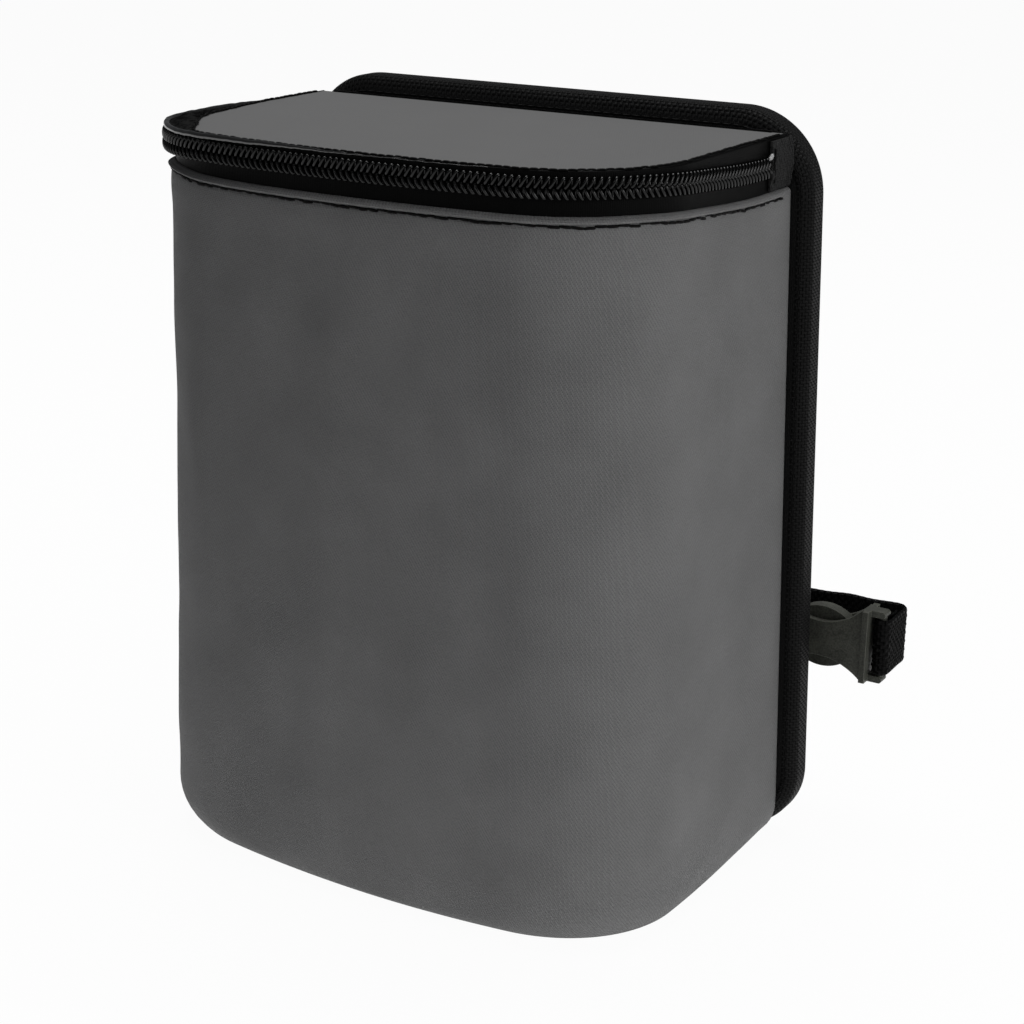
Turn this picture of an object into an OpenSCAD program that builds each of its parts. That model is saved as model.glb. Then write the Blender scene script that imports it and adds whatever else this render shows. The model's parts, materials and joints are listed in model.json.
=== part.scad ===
// Car trash bin: a soft bag with a D-shaped plan, a zipped lid, a padded back panel
// and a buckled strap. Millimetres. The origin is the centre of the flat bottom,
// +X to the bin's left as it is worn, +Y towards the back panel, +Z up.

/* [Body] */
// Width of the body across its two flat sides, at the hem
body_w = 161; // [140:1:220]
// Depth of the body from the back panel to the front, at the hem
body_d = 100; // [90:1:140]
// Height of the body's folded hem
hem_z = 202.5; // [150:0.5:280]
// Radius of the front wall in plan
front_r = 360; // [250:10:600]
// Radius of the two front corners in plan
corner_r = 38; // [20:1:44]
// Radius of the rounded edge round the bottom
bottom_r = 13.5; // [10:0.5:20]
// How much further out each side stands at the bottom than at the hem
side_flare = 6; // [0:0.5:9]
// How much further out the front stands at the bottom than at the hem
front_flare = 1.5; // [0:0.5:6]
// Thickness of the outer fabric
fabric_t = 1.2; // [0.8:0.1:1.6]
// Thickness of the foam in the walls
foam_t = 2.5; // [1.5:0.5:4]
// Thickness of the waterproof liner
liner_t = 0.6; // [0.4:0.1:1]
// Slack between one ply of the wall and the next
ply_gap = 0.2; // [0.15:0.05:0.3]
// Height of the doubled fabric of the hem
hem_fold = 11; // [8:1:16]
// How far the hem stands proud of the wall below it
hem_proud = 0.5; // [0.2:0.1:0.8]

/* [Lid] */
// Height from the hem to the lid's top, which the zipper closes
zip_gap = 13; // [11:0.5:16]
// Thickness of the lid's top fabric
lid_fabric_t = 1; // [0.8:0.1:1.4]
// Thickness of the board in the lid
lid_board_t = 2; // [1:0.5:2.5]
// Thickness of the lid's lining
lining_t = 0.6; // [0.4:0.1:0.8]
// Width of the tape folded over the lid's top edge
rim_fold_w = 2.3; // [1.5:0.1:4]

/* [Zipper] */
// Thickness of the zipper tape
tape_t = 0.8; // [0.5:0.1:1]
// Distance from one tooth of a coil to the next
tooth_pitch = 1.9; // [1.8:0.1:3]
// Height of one coil
coil_h = 3.8; // [3:0.1:4]
// How far a coil stands out from its tape
coil_proud = 1.8; // [1.2:0.1:2]
// Gap between the two coils, where the slider's web runs
coil_gap = 0.7; // [0.6:0.1:1]
// Length of the slider
slider_l = 10; // [9:0.5:10.5]
// How far the slider stands from the back panel when the lid is closed
slider_back = 8; // [8:0.5:12]
// Length of the pull tab from its pivot
pull_l = 24; // [18:1:30]
// Length of the fabric tab that covers the zipper's right end
end_tab_l = 13; // [8:1:20]

/* [Back panel] */
// Width of the back panel at the top
panel_w_top = 171; // [150:1:230]
// Width of the back panel at the bottom
panel_w_bottom = 184; // [160:1:240]
// How far the back panel stands above the lid
panel_rise = 5.5; // [2:0.5:20]
// Height of the back panel's bottom edge above the floor
panel_lift = 2.5; // [0.5:0.5:5]
// Thickness of the back panel
panel_t = 11.5; // [9:0.5:16]
// Corner radius at the panel's top
panel_top_r = 24; // [12:1:30]
// Corner radius at the panel's bottom
panel_bottom_r = 20; // [12:1:30]
// Thickness of the woven binding
binding_t = 0.9; // [0.6:0.1:1.4]
// Width of the binding on the panel's front
front_lap = 3.5; // [2:0.5:4]
// Width of the binding on the panel's back
rear_lap = 10; // [6:1:14]
// Thickness of the board in the panel
board_t = 3; // [2:0.5:4]

/* [Strap] */
// Width of the webbing
web_w = 18; // [16:0.5:18.5]
// Thickness of the webbing
web_t = 1.5; // [1.2:0.1:2]
// Height of the strap's middle
strap_z = 59.5; // [40:0.5:120]
// Distance from the panel's back to the layer with the buckle
near_gap = 17; // [14:1:20]
// Distance from the panel's back to the far layer at its fold
far_gap = 32; // [31:1:50]
// How much nearer to the panel the far layer lies where it bends to the sewn ends
far_lean = 10; // [6:1:11]
// Middle of the sewn strap ends, from the panel's middle
anchor_x = -58; // [-62:1:-50]
// Length of the sewn strap ends
anchor_l = 26; // [20:1:30]
// Distance from the panel's middle to the strap's right-hand fold
fold_x = 108; // [100:1:130]

/* [Buckle] */
// Width of the buckle
buckle_w = 23; // [22.8:0.2:28]
// Thickness of the buckle at its middle
buckle_t = 9; // [8.5:0.5:11]
// Length of the socket half without its webbing bar
socket_l = 31; // [30:1:38]
// Length of the prongs inside the socket
prong_l = 24; // [20:1:26]
// Thickness of the prongs
prong_t = 4; // [3:0.2:4.4]
// Radius of the bars that the webbing goes round
bar_r = 1.2; // [1:0.1:1.5]
// Running clearance round the prongs
prong_clear = 0.25; // [0.2:0.05:0.4]

/* [Hidden] */

fabric_grey = [0.36, 0.36, 0.37];
black = [0.06, 0.06, 0.065];
soft_black = [0.1, 0.1, 0.11];
plastic_grey = [0.2, 0.2, 0.19];
steel = [0.55, 0.55, 0.57];
liner_grey = [0.5, 0.51, 0.52];
foam_white = [0.85, 0.85, 0.83];

clear = 0.3;
half_w = body_w / 2;
back_y = body_d / 2;
front_cy = front_r - back_y;
corner_x = half_w - corner_r;
front_turn = asin(corner_x / (front_r - corner_r));
corner_y = front_cy - sqrt(pow(front_r - corner_r, 2) - pow(corner_x, 2));
side_len = back_y - corner_y;
corner_turn = 90 - front_turn;
corner_len = corner_r * corner_turn * PI / 180;
front_len = front_r * 2 * front_turn * PI / 180;
path_len = 2 * side_len + 2 * corner_len + front_len;
corner_steps = 12;
front_steps = 8;
round_steps = 6;
proud = 0.01;

// Heights of the lid and of the zipper between the hem and the lid
lid_z = hem_z + zip_gap;
rim_t = tape_t / 2;
rim_z = lid_z + rim_t;
panel_top = lid_z + panel_rise;
board_z = lid_z - lid_fabric_t - lid_board_t;
lining_z = board_z - lining_t;
zip_z = hem_z + zip_gap / 2;
lower_coil_z = zip_z - coil_gap / 2 - coil_h / 2;
upper_coil_z = zip_z + coil_gap / 2 + coil_h / 2;
tape_gap = coil_gap + 0.6;
tape_in = -fabric_t - tape_t;
tape_out = -fabric_t;
tape_drop = 6;
coil_lift = 0.05;
foam_top = hem_z - tape_drop - 0.5;
foam_out = fabric_t + ply_gap;
foam_in = foam_out + foam_t;
liner_out = foam_in + ply_gap;
liner_in = liner_out + liner_t;
liner_top = hem_z - 0.5;
lid_back = 1.1;
liner_rim_t = 1;
strip_t = 0.8;
strip_w = body_w - 12;
strip_drop = 10;

// The walls spread downwards from the hem to the rounded edge of the bottom
function spread(z) = min(1, max(0, (hem_z - z) / (hem_z - bottom_r)));

// A place s millimetres along the zipper's way round the body, from the right-hand
// end at the back panel to the left-hand end: x, y and the direction outwards
function arc_place(cx, cy, r, a) = [cx + r * cos(a), cy + r * sin(a), cos(a), sin(a)];
function along(s) =
    s <= side_len ? [half_w, back_y - s, 1, 0] :
    s <= side_len + corner_len ?
        arc_place(corner_x, corner_y, corner_r, -(s - side_len) / corner_len * corner_turn) :
    s <= side_len + corner_len + front_len ?
        arc_place(0, front_cy, front_r,
                  -corner_turn - (s - side_len - corner_len) / front_len * 2 * front_turn) :
    s <= side_len + 2 * corner_len + front_len ?
        arc_place(-corner_x, corner_y, corner_r, -corner_turn - 2 * front_turn
                  - (s - side_len - corner_len - front_len) / corner_len * corner_turn) :
    [-half_w, back_y - (path_len - s), -1, 0];

// Lengths at which the way round the body is cut into flat facets
function stops() = concat(
    [for (i = [0:corner_steps]) side_len + i / corner_steps * corner_len],
    [for (i = [1:front_steps - 1]) side_len + corner_len + i / front_steps * front_len],
    [for (i = [0:corner_steps]) side_len + corner_len + front_len
        + i / corner_steps * corner_len]);
function places(from, to) = [for (s = concat([from], stops(), [to])) along(s)];

// The point that lies o outside the hem line's place p at height z
function out_from(p, o, z) =
    [p[0] + (o + side_flare * spread(z)) * p[2], p[1] + (o + front_flare * spread(z)) * p[3], z];

// The plan outline at height z, moved outwards by o and in from the back panel by back_in
function plan(o, z, back_in = 0) = [for (p = places(back_in, path_len - back_in))
    let (q = out_from(p, o, z)) [q[0], q[1]]];

// Faces that join rings of n points into a closed solid
function ring_faces(count, n) = concat(
    [[for (j = [0:n - 1]) j]],
    [for (i = [0:count - 2]) for (j = [0:n - 1]) let (k = (j + 1) % n)
        [i * n + j, (i + 1) * n + j, (i + 1) * n + k]],
    [for (i = [0:count - 2]) for (j = [0:n - 1]) let (k = (j + 1) % n)
        [i * n + j, (i + 1) * n + k, i * n + k]],
    [[for (j = [0:n - 1]) (count - 1) * n + n - 1 - j]]);

// A profile of [outwards, height] points carried round the body
module carry(profile, back_in = 0) {
    way = places(back_in, path_len - back_in);
    points = [for (p = way) for (q = profile) out_from(p, q[0], q[1])];
    polyhedron(points, ring_faces(len(way), len(profile)), convexity = 6);
}

// The section of one layer of the wall, between two depths under the outer surface
function round_arc(depth, sign) =
    [for (i = [0:round_steps]) let (a = sign > 0 ? -90 + i / round_steps * 90 : -i / round_steps * 90)
        [-bottom_r + (bottom_r - depth) * cos(a), bottom_r + (bottom_r - depth) * sin(a)]];
function layer(outer, inner, top) = concat(
    round_arc(outer, 1), [[-outer, top], [-inner, top]], round_arc(inner, -1));

module outer_wall() {
    fold_z = hem_z - hem_fold;
    section = concat(
        round_arc(0, 1),
        [[0, fold_z - 1.5],
         [hem_proud, fold_z],
         [hem_proud, hem_z - 0.6],
         [hem_proud - 0.4, hem_z],
         [-fabric_t, hem_z]],
        round_arc(fabric_t, -1));
    color(fabric_grey) carry(section);
}

module bottom_panel() {
    color(fabric_grey) linear_extrude(fabric_t) polygon(plan(-bottom_r, 0));
}

module wall_foam() {
    color(foam_white) carry(layer(foam_out, foam_in, foam_top));
}

module bottom_board() {
    color(soft_black)
        translate([0, 0, fabric_t]) linear_extrude(liner_out - fabric_t) polygon(plan(-bottom_r, 0));
}

// The liner is sewn from three sheets: the wall, the base and the back
module liner_wall() {
    rim_low = liner_top - liner_rim_t;
    section = concat(
        round_arc(liner_out, 1),
        [[-liner_out, rim_low],
         [tape_in, rim_low],
         [tape_in, liner_top],
         [-liner_in, liner_top]],
        round_arc(liner_in, -1));
    color(liner_grey) carry(section, liner_t);
}

module liner_base() {
    color(liner_grey)
        translate([0, 0, liner_out]) linear_extrude(liner_t) polygon(plan(-bottom_r, 0, liner_t));
}

module liner_back() {
    section = concat(round_arc(liner_out, 1), [[-liner_out, liner_top]]);
    right = [for (q = section) [half_w + q[0] + side_flare * spread(q[1]), q[1]]];
    left = [for (i = [len(right) - 1:-1:0]) [-right[i][0], right[i][1]]];
    color(liner_grey)
        translate([0, back_y, 0]) rotate([90, 0, 0]) linear_extrude(liner_t)
            polygon(concat(right, left));
}

module lower_tape() {
    top = zip_z - tape_gap / 2;
    low = hem_z - tape_drop;
    color(black)
        carry([[tape_in, low], [tape_out, low], [tape_out, hem_z],
               [tape_out, top], [tape_in, top], [tape_in, hem_z]]);
}

// One row of coil teeth on the outer face of its tape: each tooth is a ridge between
// two grooves, and the two rows stand half a pitch apart
module coil(mid_z, shift) {
    from = end_tab_l + 1 + shift;
    to = path_len - slider_back + slider_l / 2 - 1;
    teeth = floor((to - from) / tooth_pitch);
    h = coil_h / 2;
    ridge = [[0, -h], [coil_proud * 0.55, -h], [coil_proud, -h * 0.45],
             [coil_proud, h * 0.45], [coil_proud * 0.55, h], [0, h]];
    groove = [[0, -h * 0.75], [coil_proud * 0.4, -h * 0.7], [coil_proud * 0.6, -h * 0.3],
              [coil_proud * 0.6, h * 0.3], [coil_proud * 0.4, h * 0.7], [0, h * 0.75]];
    points = [for (i = [0:2 * teeth]) let (p = along(from + i * tooth_pitch / 2))
        for (q = i % 2 == 0 ? groove : ridge)
            out_from(p, tape_out + coil_lift + q[0], mid_z + q[1])];
    polyhedron(points, ring_faces(2 * teeth + 1, len(ridge)), convexity = 8);
}

module lower_coil() {
    color(black) coil(lower_coil_z, 0);
}

module upper_coil() {
    color(black) coil(upper_coil_z, tooth_pitch / 2);
}

// The fabric tabs over the zipper's two ends stand clear of the lid's tape behind them
module end_tab(length) {
    tab_in = tape_out + clear;
    tab_t = 1;
    low = hem_z + 1;
    translate([tab_in, back_y - length, low]) cube([tab_t, length, zip_gap - 2]);
}

module end_tab_right() {
    color(black) translate([half_w, 0, 0]) end_tab(end_tab_l);
}

module end_tab_left() {
    length = slider_back - slider_l / 2 - 1;
    color(black) translate([-half_w, 0, 0]) mirror([1, 0, 0]) end_tab(length);
}

module hinge_strip() {
    color(black)
        translate([-strip_w / 2, back_y - strip_t, lid_z - strip_drop])
            cube([strip_w, strip_t, strip_drop + 2]);
}

module lid_top() {
    color(fabric_grey)
        translate([0, 0, lid_z - lid_fabric_t]) linear_extrude(lid_fabric_t)
            polygon(plan(tape_in, lid_z, lid_back));
}

module lid_board() {
    color(soft_black)
        translate([0, 0, board_z]) linear_extrude(lid_board_t)
            polygon(plan(tape_in - 1, lid_z, lid_back + 1.5));
}

module lid_lining() {
    color(black)
        translate([0, 0, lining_z]) linear_extrude(lining_t) polygon(plan(tape_in, lid_z, lid_back));
}

module upper_tape() {
    low = zip_z + tape_gap / 2;
    fold_o = tape_out - rim_fold_w;
    section = [[tape_in, low], [tape_out, low], [tape_out, rim_z],
               [fold_o, rim_z], [fold_o, lid_z], [tape_in, lid_z]];
    color(black) carry(section, lid_back);
}

// The slider stands on the left side: x runs outwards here, and its middle is at y = 0
slider_in = tape_out + coil_lift + coil_proud + 0.25;
slider_t = 0.9;
slider_out = slider_in + slider_t;
slider_low = lower_coil_z - coil_h / 2 - 1.2;
slider_top = upper_coil_z + coil_h / 2 + 1.1;
slider_y = back_y - slider_back;
pin_r = 0.6;
pin_o = slider_out + 0.25 + pin_r;
bridge_w = 1.7;
bridge_t = 0.8;
bridge_in = 2.5;
bridge_o = pin_o + pin_r + 0.25 - bridge_in;

module at_slider() {
    translate([-half_w, slider_y, 0]) mirror([1, 0, 0]) children();
}

module slider_plate(low, top, t) {
    mid = (low + top) / 2;
    nose_r = (top - low) / 2;
    rotate([90, 0, 90]) linear_extrude(t) {
        translate([-slider_l / 2, low]) square([slider_l - nose_r, top - low]);
        intersection() {
            translate([slider_l / 2 - nose_r, mid]) circle(r = nose_r, $fn = 48);
            translate([-slider_l / 2, low]) square([slider_l, top - low]);
        }
    }
}

module slider() {
    plate_in = tape_in - 0.2;
    web_t2 = 0.4;
    inner_top = lining_z - clear;
    color(steel) at_slider() {
        translate([slider_in, 0, 0]) slider_plate(slider_low, slider_top, slider_t);
        translate([plate_in - slider_t, 0, 0]) slider_plate(slider_low + clear, inner_top, slider_t);
        translate([tape_out + 0.25, -slider_l / 2, slider_low])
            cube([slider_in - tape_out - 0.25 + proud, slider_l - 3, 0.8]);
        translate([plate_in - proud, -2, zip_z - web_t2 / 2])
            cube([slider_in - plate_in + 2 * proud, 5, web_t2]);
        translate([bridge_o, 0, zip_z - bridge_w / 2]) linear_extrude(bridge_w) difference() {
            circle(r = bridge_in + bridge_t, $fn = 64);
            circle(r = bridge_in, $fn = 64);
            translate([-10, -10]) square([10 + slider_out - bridge_o - proud, 20]);
        }
    }
}

// The pull's pin goes under the slider's bridge, and its eye lets the bridge through
module pull_tab() {
    eye_l = 4.4;
    eye_w = 2.6;
    head_w = 4.6;
    tip_w = 5.6;
    grip_r = 1.4;
    color(steel) at_slider() translate([pin_o, 0, zip_z]) {
        cylinder(r = pin_r, h = head_w, center = true, $fn = 32);
        rotate([90, 0, 90]) translate([0, 0, -pin_r]) linear_extrude(2 * pin_r) difference() {
            union() {
                translate([-eye_l - 2, -head_w / 2]) square([eye_l + 2, head_w]);
                polygon([[-eye_l, -head_w / 2], [-pull_l + tip_w / 2, -tip_w / 2],
                         [-pull_l + tip_w / 2, tip_w / 2], [-eye_l, head_w / 2]]);
                translate([-pull_l + tip_w / 2, 0]) circle(r = tip_w / 2, $fn = 48);
            }
            translate([-eye_l, -eye_w / 2]) square([eye_l + 5, eye_w]);
            translate([-pull_l + tip_w / 2 + 0.4, 0]) circle(r = grip_r, $fn = 32);
        }
    }
}

// The back panel's outline, seen from the front, drawn in by inset. Its sides lean in
// towards the top, and each corner is an arc about a centre r from both edges.
panel_lean = atan((panel_w_bottom - panel_w_top) / 2 / (panel_top - panel_lift));
function panel_half(z) = panel_w_top / 2
    + (panel_w_bottom - panel_w_top) / 2 * (panel_top - z) / (panel_top - panel_lift);
function panel_corner(r, z, a0, a1, inset) =
    [for (i = [0:corner_steps]) let (a = a0 + (a1 - a0) * i / corner_steps)
        [panel_half(z) - r / cos(panel_lean) + (r - inset) * cos(a), z + (r - inset) * sin(a)]];
module panel_outline(inset) {
    right = concat(
        panel_corner(panel_bottom_r, panel_lift + panel_bottom_r, -90, panel_lean, inset),
        panel_corner(panel_top_r, panel_top - panel_top_r, panel_lean, 90, inset));
    left = [for (i = [len(right) - 1:-1:0]) [-right[i][0], right[i][1]]];
    polygon(concat(right, left));
}

// A slab of the panel from one depth to another behind the panel's front face
module panel_slab(inset, from, to) {
    translate([0, back_y + to, 0]) rotate([90, 0, 0]) linear_extrude(to - from) panel_outline(inset);
}

module back_cover_front() {
    color(black) panel_slab(front_lap, 0, binding_t);
}

module back_foam() {
    color(foam_white) panel_slab(binding_t, binding_t, panel_t - binding_t - board_t);
}

module back_board() {
    color(soft_black) panel_slab(binding_t, panel_t - binding_t - board_t, panel_t - binding_t);
}

module back_cover_rear() {
    color(black) panel_slab(rear_lap, panel_t - binding_t, panel_t);
}

module back_binding() {
    color(soft_black) difference() {
        panel_slab(0, 0, panel_t);
        panel_slab(binding_t, binding_t, panel_t - binding_t);
        panel_slab(front_lap, -1, binding_t + 1);
        panel_slab(rear_lap, panel_t - binding_t - 1, panel_t + 1);
    }
}

// The strap: flat webbing that stands on edge, drawn in plan as a band along a path
rear_y = back_y + panel_t;
near_y = rear_y + near_gap;
far_y = rear_y + far_gap;
wrap_r = bar_r + 0.15 + web_t / 2;
bar_x = fold_x - wrap_r;
socket_end = bar_x - bar_r - web_t - 0.45;
mouth_x = socket_end - socket_l;
male_flange = 3;
male_slot = 4.6;
male_bar_x = mouth_x - clear - male_flange - male_slot - bar_r;
release = prong_l + 1;
short_end_x = male_bar_x - bar_r - release - 1.5;
short_bend_x = short_end_x - 33;
anchor_end = anchor_x + anchor_l / 2;
patch_t = 1;

function unit(v) = v / norm(v);
function turn_left(v) = [-v[1], v[0]];
function bend_at(path, i) = unit(
    (i == 0 ? path[1] - path[0] : unit(path[i] - path[i - 1]))
    + (i == len(path) - 1 ? path[i] - path[i - 1] : i == 0 ? [0, 0] : unit(path[i + 1] - path[i])));
function band(path, t) = concat(
    [for (i = [0:len(path) - 1]) path[i] + turn_left(bend_at(path, i)) * t / 2],
    [for (i = [len(path) - 1:-1:0]) path[i] - turn_left(bend_at(path, i)) * t / 2]);
function ease(u) = u * u * (3 - 2 * u);
function s_bend(x0, y0, x1, y1, steps) =
    [for (i = [0:steps]) let (u = i / steps) [x0 + (x1 - x0) * u, y0 + (y1 - y0) * ease(u)]];
function turn(cx, cy, r, a0, a1, steps) =
    [for (i = [0:steps]) let (a = a0 + (a1 - a0) * i / steps) [cx + r * cos(a), cy + r * sin(a)]];

module webbing(path) {
    translate([0, 0, strap_z - web_w / 2]) linear_extrude(web_w) polygon(band(path, web_t));
}

module strap_long() {
    fold_r = 3;
    start_y = rear_y + web_t * 1.5 + 0.2;
    tail_l = 10;
    tail_x = bar_x + wrap_r - web_t - 0.2;
    path = concat(
        [[anchor_x - anchor_l / 2, start_y]],
        s_bend(anchor_end, start_y, anchor_end + 43, far_y - far_lean, 14),
        turn(fold_x - fold_r, far_y - fold_r, fold_r, 90, 0, 5),
        [[bar_x + wrap_r, near_y + 5]],
        turn(bar_x, near_y, wrap_r, 0, -180, 10),
        [for (i = [0:6]) let (u = i / 6)
            [bar_x - wrap_r + (tail_x - bar_x + wrap_r) * ease(u), near_y + 0.5 + 6 * u]],
        [[tail_x, near_y + tail_l]]);
    color(black) webbing(path);
}

module strap_short() {
    start_y = rear_y + web_t / 2;
    path = concat(
        [[anchor_x - anchor_l / 2, start_y]],
        s_bend(anchor_end, start_y, short_bend_x, near_y, 12),
        [[short_end_x, near_y]]);
    color(black) webbing(path);
}

module strap_patch() {
    low = rear_y + 2 * web_t + 0.2;
    color(soft_black)
        translate([anchor_x - anchor_l / 2, low, strap_z - web_w / 2 - 2])
            cube([anchor_l - 2, patch_t, web_w + 4]);
}

// The webbing round the prongs' bar, with two legs that lie beside the short strap
module buckle_webbing() {
    leg = web_t + clear;
    legs_x = male_bar_x - 7;
    legs_end = short_end_x - 6;
    path = concat(
        [[legs_end, near_y + leg], [legs_x, near_y + leg]],
        turn(male_bar_x, near_y, wrap_r, 90, -90, 12),
        [[legs_x, near_y - leg], [legs_end, near_y - leg]]);
    color(black) webbing(path);
}

// Buckle shapes are drawn with x along the strap and y up, and stand on the strap's line
module on_strap(t) {
    translate([0, near_y + t / 2, strap_z]) rotate([90, 0, 0]) linear_extrude(t) children();
}

// The buckle's two broad faces are slightly crowned
crown_r = 45;
module crowned(from, to, t) {
    intersection() {
        children();
        intersection_for(side = [-1, 1]) translate([from, near_y + side * (t / 2 - crown_r), strap_z])
            rotate([0, 90, 0]) cylinder(r = crown_r, h = to - from, $fn = 160);
    }
}

cavity_t = prong_t + 2 * prong_clear;
cavity_w = buckle_w - 3;
knob_w = cavity_w - 2 * prong_clear;
prong_end = mouth_x + prong_l;
knob_l = 17;
knob_x = prong_end - knob_l / 2;
rib_w = 1.8;
scoop_r = 18;
waist = 5.6;
scoop_reach = sqrt(pow(scoop_r, 2) - pow(scoop_r + waist - buckle_w / 2, 2));
scoop_x = socket_end - rib_w - scoop_reach - 0.4;
arm_t = 2;
arm_depth = 4;
arm_x = bar_x + 0.4;

module socket_outline() {
    difference() {
        translate([mouth_x, -buckle_w / 2]) square([socket_end - mouth_x, buckle_w]);
        for (side = [-1, 1])
            translate([scoop_x, side * (waist + scoop_r)]) circle(r = scoop_r, $fn = 96);
    }
}

module buckle_socket() {
    color(plastic_grey) {
        difference() {
            crowned(mouth_x, socket_end, buckle_t) on_strap(buckle_t) socket_outline();
            on_strap(cavity_t) translate([mouth_x - 1, -cavity_w / 2])
                square([prong_l + 2, cavity_w]);
        }
        on_strap(arm_depth) for (side = [-1, 1]) translate([0, side * (buckle_w / 2 - arm_t / 2)]) {
            translate([socket_end - rib_w, -arm_t / 2]) square([arm_x + rib_w - socket_end, arm_t]);
            translate([arm_x, 0]) circle(r = arm_t / 2, $fn = 48);
        }
        translate([bar_x, near_y, strap_z]) cylinder(r = bar_r, h = buckle_w - arm_t, center = true, $fn = 48);
        translate([socket_end - rib_w, near_y - buckle_t / 2 - 0.2, strap_z - buckle_w / 2])
            cube([rib_w, buckle_t + 0.4, buckle_w]);
    }
}

// One prong: a straight arm that ends in a lens-shaped knob, for the upper side
module prong() {
    arm_w = 2.6;
    knob_h = 6.4;
    lens_r = (pow(knob_l / 2, 2) + pow(knob_h / 2, 2)) / knob_h;
    top = knob_w / 2;
    translate([mouth_x - clear - 1, top - knob_h / 2 - arm_w / 2])
        square([knob_x - mouth_x, arm_w]);
    intersection() {
        translate([knob_x, top - lens_r]) circle(r = lens_r, $fn = 96);
        translate([knob_x, top - knob_h + lens_r]) circle(r = lens_r, $fn = 96);
    }
}

module buckle_prongs() {
    flange_x = mouth_x - clear - male_flange;
    tongue_w = 3.2;
    color(plastic_grey) {
        crowned(flange_x, mouth_x - clear, buckle_t) on_strap(buckle_t)
            translate([flange_x, -buckle_w / 2]) square([male_flange, buckle_w]);
        on_strap(prong_t) {
            prong();
            mirror([0, 1]) prong();
            translate([flange_x + 1, -tongue_w / 2]) square([prong_l - 1, tongue_w]);
        }
        on_strap(buckle_t - 3) for (side = [-1, 1])
            translate([male_bar_x - bar_r, side * (buckle_w / 2 - arm_t / 2) - arm_t / 2])
                square([flange_x - male_bar_x + bar_r + 1, arm_t]);
        translate([male_bar_x, near_y, strap_z])
            cylinder(r = bar_r, h = buckle_w - arm_t, center = true, $fn = 48);
    }
}

outer_wall();
bottom_panel();
wall_foam();
bottom_board();
liner_wall();
liner_base();
liner_back();
lower_tape();
lower_coil();
end_tab_right();
end_tab_left();
hinge_strip();
lid_top();
lid_board();
lid_lining();
upper_tape();
upper_coil();
slider();
pull_tab();
back_cover_front();
back_foam();
back_board();
back_cover_rear();
back_binding();
strap_long();
strap_short();
strap_patch();
buckle_socket();
buckle_prongs();
buckle_webbing();
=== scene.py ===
"""Looks of a soft car trash bin: a grey cloth bag with a zipped lid, a padded back panel and a strap.

Every length is in metres. The bin stands on z = 0, +Y points at its back panel, and s is the
distance along the zipper's way round the body, from the right rear to the left rear.
"""

import json
import logging
import math
from dataclasses import dataclass, field
from enum import Enum
from typing import Callable, Sequence

import bpy
import numpy as np
from mathutils import Matrix, Vector

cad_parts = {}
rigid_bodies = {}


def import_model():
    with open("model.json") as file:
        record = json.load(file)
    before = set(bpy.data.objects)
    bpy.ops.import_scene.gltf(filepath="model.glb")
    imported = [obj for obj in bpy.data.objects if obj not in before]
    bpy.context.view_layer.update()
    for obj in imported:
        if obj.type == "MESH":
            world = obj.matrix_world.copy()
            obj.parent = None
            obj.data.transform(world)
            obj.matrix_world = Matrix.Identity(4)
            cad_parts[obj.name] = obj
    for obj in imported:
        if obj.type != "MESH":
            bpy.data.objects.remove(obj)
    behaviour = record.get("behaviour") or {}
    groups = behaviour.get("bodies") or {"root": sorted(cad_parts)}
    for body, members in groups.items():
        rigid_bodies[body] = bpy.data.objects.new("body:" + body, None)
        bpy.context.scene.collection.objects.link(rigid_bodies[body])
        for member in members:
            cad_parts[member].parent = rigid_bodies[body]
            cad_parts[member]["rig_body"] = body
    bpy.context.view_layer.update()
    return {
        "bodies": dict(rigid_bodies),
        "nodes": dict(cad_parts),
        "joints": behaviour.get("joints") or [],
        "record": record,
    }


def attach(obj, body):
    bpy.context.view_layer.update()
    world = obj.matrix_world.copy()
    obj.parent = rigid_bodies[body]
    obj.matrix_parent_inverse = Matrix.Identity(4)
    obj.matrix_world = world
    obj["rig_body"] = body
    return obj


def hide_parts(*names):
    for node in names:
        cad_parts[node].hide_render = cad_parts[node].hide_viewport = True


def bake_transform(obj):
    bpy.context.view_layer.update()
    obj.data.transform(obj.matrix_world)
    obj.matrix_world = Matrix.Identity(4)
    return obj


LOG = logging.getLogger("trash_bin")
UP = np.array([0.0, 0.0, 1.0])

Array = np.ndarray
Socket = bpy.types.NodeSocket


class Slot(Enum):
    """The record's material slots."""

    GREY_FABRIC = "grey_fabric"
    BLACK_FABRIC = "black_fabric"
    FOAM = "foam"
    BOARD = "board"
    LINER = "liner"
    ZIP_TAPE = "zip_tape"
    ZIP_COIL = "zip_coil"
    BINDING = "binding"
    WEBBING = "webbing"
    BUCKLE_PLASTIC = "buckle_plastic"
    SLIDER_METAL = "slider_metal"


class Body(Enum):
    """The bodies that the soft pieces ride on."""

    ROOT = "root"
    LID = "lid"
    BUCKLE = "buckle_half"


class Weave(Enum):
    """How the threads of a cloth cross."""

    TWILL = "twill"
    BASKET = "basket"
    RIB = "rib"


def smooth_step(x: Array, low: float, high: float) -> Array:
    """Rises from 0 at low to 1 at high along 3t^2 - 2t^3.

    Args:
        x: Values to test.
        low: Where the rise starts.
        high: Where the rise ends.

    Returns:
        The rise at each value.
    """
    t = np.clip((np.asarray(x, float) - low) / (high - low), 0.0, 1.0)
    return t * t * (3.0 - 2.0 * t)


def bump_at(x: Array, middle: float, width: float) -> Array:
    """A bell exp(-((x - middle) / width)^2)."""
    return np.exp(-(((np.asarray(x, float) - middle) / width) ** 2))


def unit(v: Array) -> Array:
    """Vectors of length one along the last axis."""
    return v / np.maximum(np.linalg.norm(v, axis=-1, keepdims=True), 1e-12)


def dot(a: Array, b: Array) -> Array:
    """Dot product along the last axis, which is kept."""
    return np.sum(a * b, axis=-1, keepdims=True)


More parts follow.
